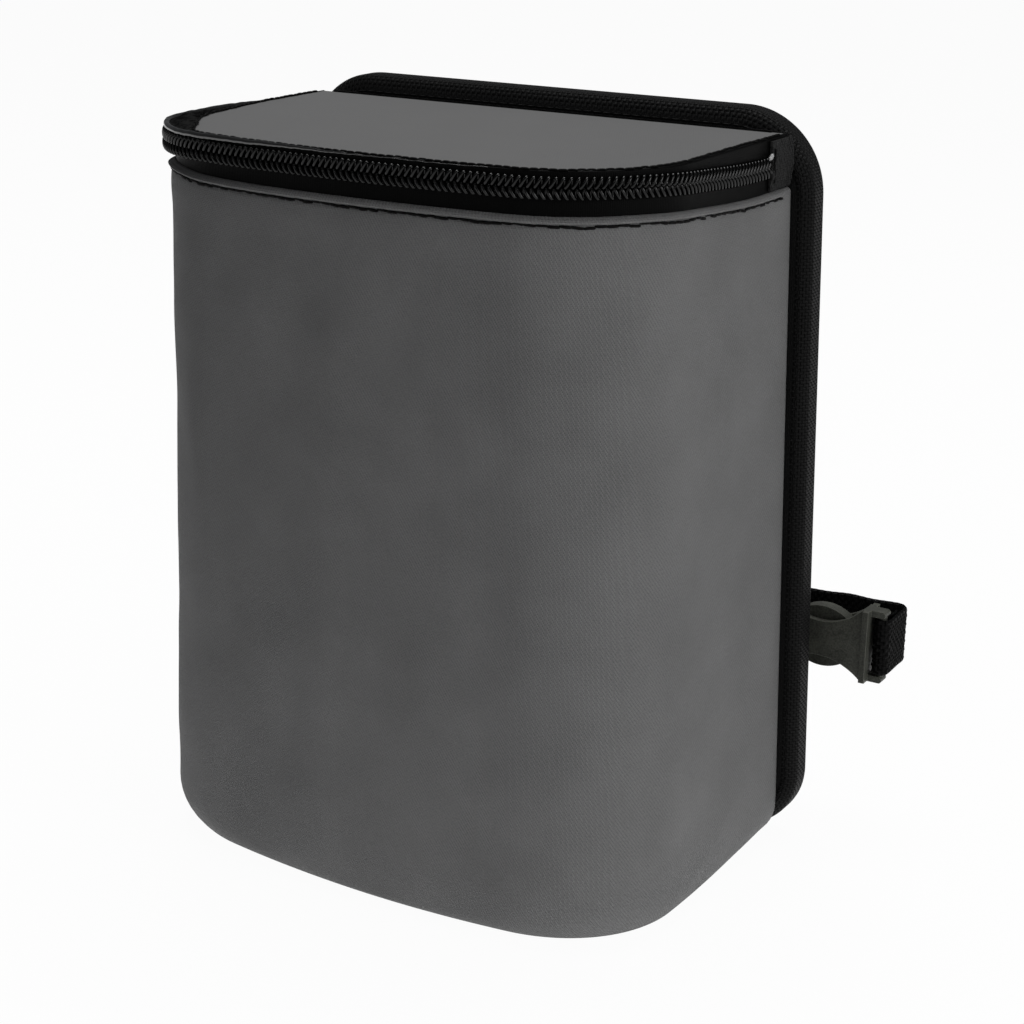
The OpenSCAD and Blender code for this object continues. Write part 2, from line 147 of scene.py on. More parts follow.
def soft_noise(x: Array, seed: int, longest: float, waves: int = 6) -> Array:
    """A smooth line of noise: a sum of sines whose lengths fall from the longest, with seeded phases.

    Args:
        x: Places along the line, in metres.
        seed: Seed of the phases.
        longest: Length of the longest wave, in metres.
        waves: Number of sines.

    Returns:
        Noise of about -1 to 1 at each place.
    """
    rng = np.random.default_rng(seed)
    k = np.arange(1, waves + 1)
    phase = rng.uniform(0, 2 * np.pi, waves)
    size = rng.uniform(0.5, 1.0, waves) / k**0.7
    x = np.asarray(x, float)
    total = np.sin(2 * np.pi * x[..., None] / longest * k**1.15 + phase) * size
    return total.sum(-1) / size.sum() * 1.6


def patch_noise(u: Array, v: Array, seed: int, longest: float, waves: int = 10) -> Array:
    """A smooth field of noise: a sum of plane waves in seeded directions.

    Args:
        u: First coordinate of each point, in metres.
        v: Second coordinate of each point, in metres.
        seed: Seed of the directions and phases.
        longest: Length of the longest wave, in metres.
        waves: Number of plane waves.

    Returns:
        Noise of about -1 to 1 at each point.
    """
    rng = np.random.default_rng(seed)
    total = np.zeros(np.broadcast(u, v).shape)
    weight = 0.0
    for k in range(waves):
        turn = rng.uniform(0, 2 * np.pi)
        length = longest / (1.0 + 0.35 * k)
        phase = rng.uniform(0, 2 * np.pi)
        size = 1.0 / (1.0 + 0.3 * k)
        total += size * np.sin(2 * np.pi * (u * math.cos(turn) + v * math.sin(turn)) / length + phase)
        weight += size
    return total / weight * 2.2


def span(rows: tuple[float, float, int], columns: tuple[float, float, int]) -> tuple[Array, Array]:
    """Evenly spaced values down the rows and along the columns of a grid, ready to be combined.

    Args:
        rows: First value, last value and number of rows.
        columns: First value, last value and number of columns.

    Returns:
        A standing and a lying line of values.
    """
    return np.linspace(*rows)[:, None], np.linspace(*columns)[None, :]


def spread(*axes: Array | float) -> Array:
    """Points from their coordinates, each spread to the shape of all of them together."""
    return np.stack(np.broadcast_arrays(*axes), -1)


def grid_quads(nu: int, nv: int) -> Array:
    """Corner numbers of the quads of a grid of nu rows of nv points."""
    i, j = np.meshgrid(np.arange(nu - 1), np.arange(nv - 1), indexing="ij")
    a = (i * nv + j).ravel()
    return np.stack([a, a + nv, a + nv + 1, a + 1], -1)


def ring_caps(m: int) -> Array:
    """Quads that close a ring of m points, m even, in strips from one side to the other."""
    j = np.arange(m // 2 - 1)
    return np.stack([j, j + 1, m - 2 - j, m - 1 - j], -1)


@dataclass
class Surface:
    """Points, quads and a flat map in metres that together make one mesh."""

    points: Array
    quads: Array
    uv: Array

    @staticmethod
    def shell(outer: Array, inner: Array, uv: Array) -> "Surface":
        """A closed sheet: a grid of outer points, the same grid of inner points and a rim between them.

        Args:
            outer: Outer face, rows by columns by 3.
            inner: Inner face, of the same shape.
            uv: Flat place of each point, rows by columns by 2.

        Returns:
            The closed surface, with its faces turned outwards.
        """
        nu, nv = outer.shape[:2]
        count = nu * nv
        face = grid_quads(nu, nv)
        i, j = np.arange(nu - 1), np.arange(nv - 1)

        def rim(a: Array, b: Array) -> Array:
            """Quads from the outer edge a -> b to the inner edge below it."""
            return np.stack([a, b, b + count, a + count], -1)

        rims = [
            rim((i + 1) * nv, i * nv),
            rim(i * nv + nv - 1, (i + 1) * nv + nv - 1),
            rim(j, j + 1),
            rim((nu - 1) * nv + j + 1, (nu - 1) * nv + j),
        ]
        quads = np.concatenate([face, face[:, ::-1] + count, *rims])
        across = unit(np.cross(outer[1:, 1:] - outer[:-1, :-1], outer[:-1, 1:] - outer[1:, :-1]))
        turned = np.sum(dot(across, outer[1:, 1:] - inner[1:, 1:])) < 0
        if turned:
            quads = quads[:, ::-1]
        points = np.concatenate([outer.reshape(-1, 3), inner.reshape(-1, 3)])
        flat = uv.reshape(-1, 2)
        return Surface(points, quads, np.concatenate([flat, flat]))

    @staticmethod
    def loft(rings: Array, uv: Array | None = None) -> "Surface":
        """Closed tubes: each is a row of rings of m points, joined in order and capped at both ends.

        Args:
            rings: Points, tubes by rings by m by 3, with m even.
            uv: Flat place of each point, or None for none.

        Returns:
            The tubes as one surface, with their faces turned outwards.
        """
        if rings.ndim == 3:
            rings = rings[None]
        tubes, n, m = rings.shape[:3]
        k, j = np.meshgrid(np.arange(n - 1), np.arange(m), indexing="ij")
        a, b = (k * m + j).ravel(), (k * m + (j + 1) % m).ravel()
        side = np.stack([a, b, b + m, a + m], -1)
        cap = ring_caps(m)
        one = np.concatenate([side, cap[:, ::-1], cap + (n - 1) * m])
        middle = rings.mean(2, keepdims=True)
        out = rings - middle
        across = np.cross(rings[:, 1:, 1:] - rings[:, :-1, :-1], rings[:, :-1, 1:] - rings[:, 1:, :-1])
        if np.sum(across * out[:, 1:, 1:]) > 0:
            one = one[:, ::-1]
        quads = (np.arange(tubes)[:, None, None] * (n * m) + one).reshape(-1, 4)
        points = rings.reshape(-1, 3)
        flat = np.zeros((len(points), 2)) if uv is None else uv.reshape(-1, 2)
        return Surface(points, quads, flat)

    def plus(self, other: "Surface") -> "Surface":
        """Both surfaces as one."""
        return Surface(
            np.concatenate([self.points, other.points]),
            np.concatenate([self.quads, other.quads + len(self.points)]),
            np.concatenate([self.uv, other.uv]),
        )

    def area(self) -> float:
        """The whole area of the quads, in square metres."""
        a, b, c, d = (self.points[self.quads[:, k]] for k in range(4))
        return float(np.linalg.norm(np.cross(c - a, d - b), axis=1).sum() / 2)

    def piece(self, name: str, finish: "Finish", body: Body, sharp: float = 50.0) -> bpy.types.Object:
        """Puts the surface into Blender as a piece that rides on a body.

        Args:
            name: Name of the piece.
            finish: Its finish.
            body: The body that it rides on.
            sharp: Edges sharper than this many degrees are shaded as edges.

        Returns:
            The new object.
        """
        mesh = bpy.data.meshes.new(name)
        mesh.from_pydata(self.points.tolist(), [], self.quads.tolist())
        layer = mesh.uv_layers.new(name="weave")
        corners = np.zeros(len(mesh.loops), np.int32)
        mesh.loops.foreach_get("vertex_index", corners)
        layer.data.foreach_set("uv", self.uv[corners].astype(np.float32).ravel())
        mesh.polygons.foreach_set("use_smooth", np.ones(len(mesh.polygons), bool))
        mesh.set_sharp_from_angle(angle=math.radians(sharp))
        mesh.materials.append(finish.material())
        mesh.update()
        piece = bpy.data.objects.new(name, mesh)
        bpy.context.scene.collection.objects.link(piece)
        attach(piece, body.value)
        return piece


def normals_of(grid: Array) -> Array:
    """Unit normals of a grid of points, from its differences along rows and columns."""
    return unit(np.cross(np.gradient(grid, axis=0), np.gradient(grid, axis=1)))


def tube(path: Array, radius: float | Array, sides: int, up: Array) -> Surface:
    """A round tube along a path: each ring is a circle across the path, set against the up direction.

    Args:
        path: Points of the middle line, n by 3.
        radius: Radius of the tube, or one for each point.
        sides: Points of each ring, even.
        up: A direction, or one for each point, that the path never follows.

    Returns:
        The closed tube.
    """
    along = unit(np.gradient(path, axis=0))
    up = np.broadcast_to(up, path.shape)
    side = unit(np.cross(along, up))
    rise = np.cross(side, along)
    turn = np.arange(sides) / sides * 2 * np.pi
    size = np.broadcast_to(np.asarray(radius, float), (len(path),))[:, None, None]
    ring = side[:, None] * np.cos(turn)[:, None] + rise[:, None] * np.sin(turn)[:, None]
    return Surface.loft(path[:, None] + ring * size)


@dataclass
class Graph:
    """A material's node tree, with short ways to add and join nodes."""

    material: bpy.types.Material
    count: int = 0

    def node(self, kind: str, **values: object) -> bpy.types.Node:
        """Adds a node and sets its properties, or its inputs where no property has that name.

        Args:
            kind: Type of the node.
            **values: Properties or inputs by name.

        Returns:
            The node.
        """
        node = self.material.node_tree.nodes.new(kind)
        node.location = (-220 * (self.count % 8), -260 * (self.count // 8))
        self.count += 1
        for key, value in values.items():
            if hasattr(node, key):
                setattr(node, key, value)
            else:
                self.put(node.inputs[key.replace("_", " ")], value)
        return node

    def put(self, socket: Socket, value: object) -> None:
        """Links a socket to a socket, or sets a constant on it."""
        if isinstance(value, Socket):
            self.material.node_tree.links.new(value, socket)
        else:
            socket.default_value = value

    def math(self, operation: str, a: object, b: object = 0.0, c: object = 0.0) -> Socket:
        """The result of a Math node.

        Args:
            operation: Name of the operation.
            a: First value or socket.
            b: Second value or socket.
            c: Third value or socket.

        Returns:
            The node's output.
        """
        node = self.node("ShaderNodeMath", operation=operation)
        for socket, value in zip(node.inputs, (a, b, c)):
            self.put(socket, value)
        return node.outputs[0]

    def noise(self, vector: Socket, scale: float, detail: float = 3.0) -> Socket:
        """Noise of 0 to 1 at a scale in waves per metre."""
        node = self.node("ShaderNodeTexNoise", Scale=scale, Detail=detail)
        self.put(node.inputs["Vector"], vector)
        return node.outputs["Fac"]

    def tint(self, factor: object, low: Sequence[float], high: Sequence[float]) -> Socket:
        """A colour between two, by a factor."""
        node = self.node("ShaderNodeMix", data_type="RGBA")
        self.put(node.inputs[0], factor)
        self.put(node.inputs[6], (*low, 1.0))
        self.put(node.inputs[7], (*high, 1.0))
        return node.outputs[2]


def grey(level: float, cast: Sequence[float] = (1.0, 1.0, 1.0)) -> tuple[float, ...]:
    """A linear colour from a display level of 0 to 255.

    Args:
        level: Level as a screen shows it.
        cast: Factor of each colour channel.

    Returns:
        The linear colour.
    """
    x = level / 255.0
    y = x / 12.92 if x <= 0.04045 else ((x + 0.055) / 1.055) ** 2.4
    return tuple(y * share for share in cast)


@dataclass(frozen=True)
class Finish:
    """A finish: its colour, roughness and slot. Each kind adds its own pattern."""

    name: str
    slot: Slot
    level: float
    roughness: float = 0.7
    cast: tuple[float, float, float] = (1.0, 1.0, 1.0)
    specular: float = 0.5
    mottle: float = 0.06

    def material(self) -> bpy.types.Material:
        """The finish's material, made once."""
        found = bpy.data.materials.get(self.name)
        if found is not None:
            return found
        material = bpy.data.materials.new(self.name)
        material.use_nodes = True
        material.node_tree.nodes.clear()
        graph = Graph(material)
        shader = graph.node("ShaderNodeBsdfPrincipled", Roughness=self.roughness)
        shader.inputs["Specular IOR Level"].default_value = self.specular
        out = graph.node("ShaderNodeOutputMaterial")
        graph.put(out.inputs["Surface"], shader.outputs[0])
        self.dress(graph, shader)
        return material

    def shades(self, share: float) -> tuple[tuple[float, ...], tuple[float, ...]]:
        """The colour darkened and lightened by a share of its level."""
        return grey(self.level * (1 - share), self.cast), grey(self.level * (1 + share), self.cast)

    def dress(self, graph: Graph, shader: bpy.types.Node) -> None:
        """Joins colour and relief to the shader: here a fine mottle on Object coordinates.

        Args:
            graph: The material's graph.
            shader: Its Principled shader.
        """
        place = graph.node("ShaderNodeTexCoord").outputs["Object"]
        cloud = graph.noise(place, 240.0)
        graph.put(shader.inputs["Base Color"], graph.tint(cloud, *self.shades(self.mottle)))


@dataclass(frozen=True)
class Cloth(Finish):
    """Woven cloth, patterned on the piece's flat map in metres."""

    weave: Weave = Weave.TWILL
    pitch: float = 0.00075
    stretch: float = 1.0
    relief: float = 0.00012
    # Share by which the colour is painted darker between threads and lighter on their tops.
    thread_shade: float = 0.16
    slant: float = -1.0

    def threads(self, graph: Graph, u: Socket, v: Socket) -> Socket:
        """Height of the weave: warp ridges |sin| where the warp lies over, weft ridges elsewhere.

        Args:
            graph: The material's graph.
            u: Flat place across the warp, in metres.
            v: Flat place across the weft, in metres.

        Returns:
            A height of 0 to 1.
        """

        def ridge(turns: Socket) -> Socket:
            """One rounded ridge for each thread: |sin(pi * turns)|."""
            return graph.math("ABSOLUTE", graph.math("SINE", graph.math("MULTIPLY", turns, math.pi)))

        a = graph.math("DIVIDE", u, self.pitch)
        b = graph.math("DIVIDE", v, self.pitch * self.stretch)
        warp, weft = ridge(a), ridge(b)
        if self.weave is Weave.RIB:
            return graph.math("MULTIPLY_ADD", warp, 0.8, graph.math("MULTIPLY", weft, 0.2))
        step = graph.math("FLOOR", a)
        other = graph.math("FLOOR", b)
        if self.weave is Weave.TWILL:
            place, repeat = graph.math("MULTIPLY_ADD", other, self.slant, step), 3.0
            over = graph.math("LESS_THAN", graph.math("FLOORED_MODULO", place, repeat), 1.5)
        else:
            place, repeat = graph.math("ADD", step, other), 2.0
            over = graph.math("LESS_THAN", graph.math("FLOORED_MODULO", place, repeat), 0.5)
        low = graph.math("MULTIPLY", weft, graph.math("MULTIPLY", graph.math("SUBTRACT", 1.0, over), 0.65))
        return graph.math("MULTIPLY_ADD", warp, over, low)

    def dress(self, graph: Graph, shader: bpy.types.Node) -> None:
        """Threads, slubs, a slow mottle of colour and a soft relief, with painted shade between the threads
        and painted highlight on their tops.
        """
        chart = graph.node("ShaderNodeUVMap", uv_map="weave").outputs[0]
        parts = graph.node("ShaderNodeSeparateXYZ")
        graph.put(parts.inputs[0], chart)
        height = self.threads(graph, parts.outputs[0], parts.outputs[1])
        slub = graph.noise(chart, 1600.0, 2.0)
        cloud = graph.noise(chart, 38.0, 4.0)
        # Painted shade and highlight: the colour follows the threads' height, darker in the gaps and lighter
        # on the tops; the slubs and the mottle are the yarn's own tone.
        dark, light = self.shades(self.thread_shade)
        shade = graph.math("MULTIPLY_ADD", height, 0.62, graph.math("MULTIPLY", slub, 0.38))
        shade = graph.math("MULTIPLY_ADD", graph.math("SUBTRACT", cloud, 0.5), 0.35, shade)
        graph.put(shader.inputs["Base Color"], graph.tint(shade, dark, light))
        bump = graph.node("ShaderNodeBump", Strength=0.9, Distance=self.relief)
        graph.put(bump.inputs["Height"], graph.math("MULTIPLY_ADD", slub, 0.35, height))
        graph.put(shader.inputs["Normal"], bump.outputs[0])


@dataclass(frozen=True)
class Moulded(Finish):
    """Moulded plastic or enamel: a fine grain and faint specks."""

    grain: float = 0.00006
    grain_scale: float = 2600.0
    specks: float = 0.10
    edge: float = 0.0

    def dress(self, graph: Graph, shader: bpy.types.Node) -> None:
        """Grain in the relief and the roughness, and specks in the colour."""
        place = graph.node("ShaderNodeTexCoord").outputs["Object"]
        fine = graph.noise(place, self.grain_scale, 2.0)
        broad = graph.noise(place, 180.0, 3.0)
        dark, light = self.shades(self.specks)
        shade = graph.math("MULTIPLY_ADD", graph.math("SUBTRACT", fine, 0.5), 1.6, broad)
        colour = graph.tint(shade, dark, light)
        rough = graph.math("MULTIPLY_ADD", graph.math("SUBTRACT", broad, 0.5), 0.18, self.roughness)
        graph.put(shader.inputs["Roughness"], rough)
        bump = graph.node("ShaderNodeBump", Strength=0.7, Distance=self.grain)
        graph.put(bump.inputs["Height"], fine)
        # An edge radius softens the edges and paints a highlight along them.
        if self.edge > 0:
            colour = self.rounded(graph, bump, colour)
        graph.put(shader.inputs["Base Color"], colour)
        graph.put(shader.inputs["Normal"], bump.outputs[0])


@dataclass(frozen=True)
class MouldedEdgeHighlight(Moulded):
    """Moulded plastic whose edges are rounded over and painted lighter, a painted highlight along them."""

    highlight_level: float = 120.0

    def rounded(self, graph: Graph, bump: bpy.types.Node, colour: Socket) -> Socket:
        """Softens the edges, and paints a highlight: the colour is lightened where the soft and the true
        normal part.
        """
        soft = graph.node("ShaderNodeBevel", samples=4, Radius=self.edge).outputs[0]
        graph.put(bump.inputs["Normal"], soft)
        true = graph.node("ShaderNodeNewGeometry").outputs["True Normal"]
        match = graph.node("ShaderNodeVectorMath", operation="DOT_PRODUCT")
        graph.put(match.inputs[0], soft)
        graph.put(match.inputs[1], true)
        # Painted highlight: a lighter colour along the edges, where the soft normal turns away from the true
        # one.
        edge_highlight = graph.math("MULTIPLY", graph.math("SUBTRACT", 1.0, match.outputs["Value"]), 3.2)
        edge_highlight = graph.math("MINIMUM", graph.math("MAXIMUM", edge_highlight, 0.0), 1.0)
        mix = graph.node("ShaderNodeMix", data_type="RGBA")
        graph.put(mix.inputs[0], edge_highlight)
        graph.put(mix.inputs[6], colour)
        graph.put(mix.inputs[7], (*grey(self.highlight_level, self.cast), 1.0))
        return mix.outputs[2]


# Each cloth below paints shade between its threads and highlight on their tops into its colour.
GREY_CLOTH = Cloth("grey_cloth", Slot.GREY_FABRIC, 104, 0.62, specular=0.1, pitch=0.00031, stretch=1.5,
                   relief=0.00014, thread_shade=0.34)
LID_CLOTH = Cloth("lid_cloth", Slot.GREY_FABRIC, 95, 0.66, specular=0.15, pitch=0.0005, relief=0.00003,
                  thread_shade=0.03)
BLACK_CLOTH = Cloth("black_cloth", Slot.BLACK_FABRIC, 15, 0.6, specular=0.06, pitch=0.0006, thread_shade=0.5)
TAB_CLOTH = Cloth("tab_cloth", Slot.ZIP_TAPE, 27, 0.6, specular=0.06, pitch=0.0007, relief=0.0003,
                  thread_shade=0.9)
RIM_TAPE = Cloth("rim_tape", Slot.ZIP_TAPE, 6, 0.5, specular=0.03, weave=Weave.RIB, pitch=0.0006,
                 relief=0.00006, thread_shade=0.5)
BINDING = Cloth("binding_ribbon", Slot.BINDING, 15, 0.5, specular=0.05, weave=Weave.BASKET, pitch=0.0009,
                relief=0.0004, thread_shade=0.95)
WEBBING = Cloth("webbing_yarn", Slot.WEBBING, 8, 0.5, specular=0.05, weave=Weave.BASKET, pitch=0.0011,
                relief=0.0004, thread_shade=0.98)
LINER = Moulded("liner_film", Slot.LINER, 150, 0.42, grain=0.00004, grain_scale=900.0, specks=0.03)
FOAM = Moulded("foam_sheet", Slot.FOAM, 215, 0.9, grain=0.0002, grain_scale=1400.0, specks=0.06)
BOARD = Moulded("stiff_board", Slot.BOARD, 40, 0.7, specks=0.06)
COIL = Moulded("coil_nylon", Slot.ZIP_COIL, 3, 0.2, specular=0.28, grain=0.00001, specks=0.05)
GLOSS = Moulded("rim_gloss", Slot.ZIP_TAPE, 3, 0.18, specular=1.0, grain=0.00002, specks=0.1)
# Light grey: a painted highlight that stands in for the glint at the coil's end.
STOP_GLINT = Moulded("stop_painted_glint", Slot.ZIP_COIL, 150, 0.25, grain=0.00001, specks=0.1)
THREAD = Finish("sewing_thread", Slot.BLACK_FABRIC, 4, 0.6, specular=0.08)
# The buckle's edges get a painted highlight.
BUCKLE = MouldedEdgeHighlight("buckle_resin", Slot.BUCKLE_PLASTIC, 62, 0.45, cast=(0.97, 1.0, 0.84), specular=0.25,
              specks=0.3, grain=0.00012, grain_scale=1800.0, edge=0.00035)
STEEL = Moulded("black_steel", Slot.SLIDER_METAL, 40, 0.3, grain=0.00002, specks=0.04)


@dataclass(frozen=True)
class BodyPlan:
    """The D-shaped way round the body: two straight sides, two corner arcs and a long front arc."""

    width: float = 0.161
    depth: float = 0.100
    hem_z: float = 0.2025
    front_r: float = 0.360
    corner_r: float = 0.038
    bottom_r: float = 0.0135
    side_flare: float = 0.006
    front_flare: float = 0.0015
    fabric: float = 0.0012
    foam: float = 0.0025
    liner: float = 0.0006
    slack: float = 0.0002
    zip_gap: float = 0.013
    tape: float = 0.0008
    panel_thick: float = 0.0115
    front_rise: float = 0.0035
    right_sink: float = 0.0017
    corner_rise: float = 0.0016
    corner_swell: float = 0.0019
    left_level: float = 0.060

    @property
    def liner_out(self) -> float:
        """Depth of the liner's outer face under the wall's."""
        return self.fabric + self.foam + 2 * self.slack

    @property
    def lid_z(self) -> float:
        """Height of the lid's top face."""
        return self.hem_z + self.zip_gap

    @property
    def panel_rear(self) -> float:
        """The back panel's rear face."""
        return self.back_y + self.panel_thick

    @property
    def half(self) -> float:
        """Half the width at the hem."""
        return self.width / 2

    @property
    def back_y(self) -> float:
        """The body's rear edge, at the back panel."""
        return self.depth / 2

    @property
    def corner_x(self) -> float:
        """Middle of a corner arc, from the bin's middle."""
        return self.half - self.corner_r

    @property
    def front_cy(self) -> float:
        """Middle of the front arc."""
        return self.front_r - self.back_y

    @property
    def front_turn(self) -> float:
        """Half the angle of the front arc."""
        return math.asin(self.corner_x / (self.front_r - self.corner_r))

    @property
    def corner_y(self) -> float:
        """Middle of the corner arcs, front to back."""
        reach = (self.front_r - self.corner_r) ** 2 - self.corner_x**2
        return self.front_cy - math.sqrt(reach)

    @property
    def side_len(self) -> float:
        """Length of a straight side."""
        return self.back_y - self.corner_y

    @property
    def corner_len(self) -> float:
        """Length of a corner arc."""
        return self.corner_r * (math.pi / 2 - self.front_turn)

    @property
    def front_len(self) -> float:
        """Length of the front arc."""
        return self.front_r * 2 * self.front_turn

    @property
    def length(self) -> float:
        """Length of the whole way."""
        return 2 * self.side_len + 2 * self.corner_len + self.front_len

    def along(self, s: Array) -> tuple[Array, Array]:
        """Places on the way and the directions outwards there.

        Args:
            s: Distances along the way from the right rear.

        Returns:
            Points x, y and unit directions x, y, each with two columns.
        """
        s = np.asarray(s, float)
        mirrored = s > self.length / 2
        t = np.where(mirrored, self.length - s, s)
        turn = np.clip((t - self.side_len) / self.corner_r, 0, math.pi / 2 - self.front_turn)
        sweep = np.clip((t - self.side_len - self.corner_len) / self.front_r, 0, None)
        angle = -(turn + sweep)
        on_front = t > self.side_len + self.corner_len
        on_side = t < self.side_len
        cx = np.where(on_front, 0.0, self.corner_x)
        cy = np.where(on_front, self.front_cy, self.corner_y)
        r = np.where(on_front, self.front_r, self.corner_r)
        nx, ny = np.cos(angle), np.sin(angle)
        x = cx + r * nx
        y = np.where(on_side, self.back_y - t, cy + r * ny)
        sign = np.where(mirrored, -1.0, 1.0)
        return np.stack([x * sign, y], -1), np.stack([nx * sign, ny], -1)

    def place(self, s: Array, out: Array, z: Array) -> Array:
        """Points that stand out from the hem line by out at height z, with the walls' spread.

        Args:
            s: Distances along the way.
            out: Distances outwards.
            z: Heights.

        Returns:
            Points, with three columns.
        """
        s, out, z = np.broadcast_arrays(s, out, z)
        point, normal = self.along(s)
        down = np.clip((self.hem_z - z) / (self.hem_z - self.bottom_r), 0, 1)
        shift = np.stack([out + self.side_flare * down, out + self.front_flare * down], -1)
        return np.concatenate([point + normal * shift, z[..., None]], -1)

    def above(self, s: Array, out: Array, z: Array) -> Array:
        """Points that stand out from the hem line by out at height z, with no spread.

        Args:
            s: Distances along the way.
            out: Distances outwards.
            z: Heights.

        Returns:
            Points, with three columns.
        """
        s, out, z = np.broadcast_arrays(s, out, z)
        point, normal = self.along(s)
        return np.concatenate([point + normal * out[..., None], z[..., None]], -1)

    def lift(self, s: Array) -> Array:
        """How far the hem line rises or sinks along the way.

        It sinks at the right rear, runs high along the front, highest at the left front corner, and is
        level along the left side. Each part is a smooth step or a bell of s.
        """
        rise = self.front_rise * smooth_step(s, 0.015, 0.085) - self.right_sink
        rise = rise + self.corner_rise * bump_at(s, 0.236, 0.022)
        return rise * self.before_left(s)

    def before_left(self, s: Array) -> Array:
        """1 round the right side and the front, which eases to 0 on the level left side."""
        return smooth_step(self.length - np.asarray(s, float), self.left_level, self.left_level + 0.018)

    def swell(self, s: Array) -> Array:
        """How far the zipper stands out at the left front corner."""
        left = self.length - np.asarray(s, float)
        rising = smooth_step(left, self.left_level, self.left_level + 0.020)
        return self.corner_swell * rising * (1 - smooth_step(left, 0.098, 0.145))

    def profile(self, t: Array, depth: float = 0.0) -> tuple[Array, Array]:
        """The wall's section: a quarter round from the bottom seam, then straight up.

        Args:
            t: Distances along the outer section from the bottom seam.
            depth: Depth under the outer face.

        Returns:
            Distances outwards and heights.
        """
        arc = self.bottom_r * math.pi / 2
        a = np.clip(np.asarray(t, float) / self.bottom_r, 0, math.pi / 2) - math.pi / 2
        out = -self.bottom_r + (self.bottom_r - depth) * np.cos(a)
        z = self.bottom_r + (self.bottom_r - depth) * np.sin(a) + np.clip(t - arc, 0, None)
        return out, z


PLAN = BodyPlan()


@dataclass
class ClothRun:
    """A run of the cloth solver on a grid of points, with some of them pinned."""

    pressure: float = 1.0
    shrink: float = 0.0
    gravity: float = 0.0
    stiffness: float = 15.0
    bending: float = 2.0
    frames: int = 20
    smoothings: int = 6
    cap: float = 0.004

    def run(self, grid: Array, pinned: Array, wraps: bool = False) -> Array:
        """Lets the cloth settle and returns where its points come to lie.

        Args:
            grid: Points, rows by columns by 3.
            pinned: True where a point is held.
            wraps: True where the last row joins the first.

        Returns:
            The settled points, none moved further than the cap, with ripples of one cell smoothed out.
        """
        nu, nv = grid.shape[:2]
        quads = grid_quads(nu, nv)
        if wraps:
            j = np.arange(nv - 1)
            last = (nu - 1) * nv + j
            quads = np.concatenate([quads, np.stack([last, j, j + 1, last + 1], -1)])
        mesh = bpy.data.meshes.new("cloth_run")
        mesh.from_pydata(grid.reshape(-1, 3).tolist(), [], quads.tolist())
        cloth = bpy.data.objects.new("cloth_run", mesh)
        bpy.context.scene.collection.objects.link(cloth)
        held = cloth.vertex_groups.new(name="held")
        held.add(np.flatnonzero(pinned.ravel()).tolist(), 1.0, "REPLACE")
        settings = cloth.modifiers.new("Cloth", "CLOTH").settings
        settings.vertex_group_mass = "held"
        settings.quality = 6
        settings.mass = 0.25
        settings.tension_stiffness = self.stiffness
        settings.compression_stiffness = self.stiffness
        settings.shear_stiffness = self.stiffness * 0.6
        settings.bending_stiffness = self.bending
        settings.air_damping = 4.0
        settings.use_pressure = True
        settings.uniform_pressure_force = self.pressure
        settings.shrink_min = self.shrink
        settings.effector_weights.gravity = self.gravity
        scene = bpy.context.scene
        for frame in range(1, self.frames + 1):
            scene.frame_set(frame)
        found = cloth.evaluated_get(bpy.context.evaluated_depsgraph_get())
        settled = np.zeros(len(mesh.vertices) * 3, np.float32)
        found.data.vertices.foreach_get("co", settled)
        bpy.data.objects.remove(cloth)
        bpy.data.meshes.remove(mesh)
        scene.frame_set(1)
        move = settled.reshape(grid.shape).astype(float) - grid
        for _ in range(self.smoothings):
            if wraps:
                move = (np.roll(move, 1, 0) + 2 * move + np.roll(move, -1, 0)) / 4
            else:
                move[1:-1] = (move[:-2] + 2 * move[1:-1] + move[2:]) / 4
        size = np.linalg.norm(move, axis=-1, keepdims=True)
        return grid + move * (np.tanh(size / self.cap) * self.cap / np.maximum(size, 1e-9))


def refine(grid: Array, nu: int, nv: int) -> Array:
    """A finer grid through the same surface: cubic lines, first along rows and then along columns.

    Args:
        grid: Points, rows by columns by 3.
        nu: Rows wanted.
        nv: Columns wanted.

    Returns:
        The finer grid.
    """

    def lines(g: Array, count: int) -> Array:
        """Catmull-Rom lines through the first axis."""
        n = len(g)
        standing = (-1,) + (1,) * (g.ndim - 1)
        x = np.linspace(0, n - 1, count)
        i = np.clip(np.floor(x).astype(int), 0, n - 2)
        t = (x - i).reshape(standing)
        p1, p2 = g[i], g[i + 1]
        p0 = np.where((i > 0).reshape(standing), g[np.maximum(i - 1, 0)], 2 * p1 - p2)
        p3 = np.where((i < n - 2).reshape(standing), g[np.minimum(i + 2, n - 1)], 2 * p2 - p1)
        return 0.5 * (2 * p1 + (p2 - p0) * t + (2 * p0 - 5 * p1 + 4 * p2 - p3) * t**2
                      + (3 * p1 - p0 - 3 * p2 + p3) * t**3)

    return np.swapaxes(lines(np.swapaxes(lines(grid, nu), 0, 1), nv), 0, 1)


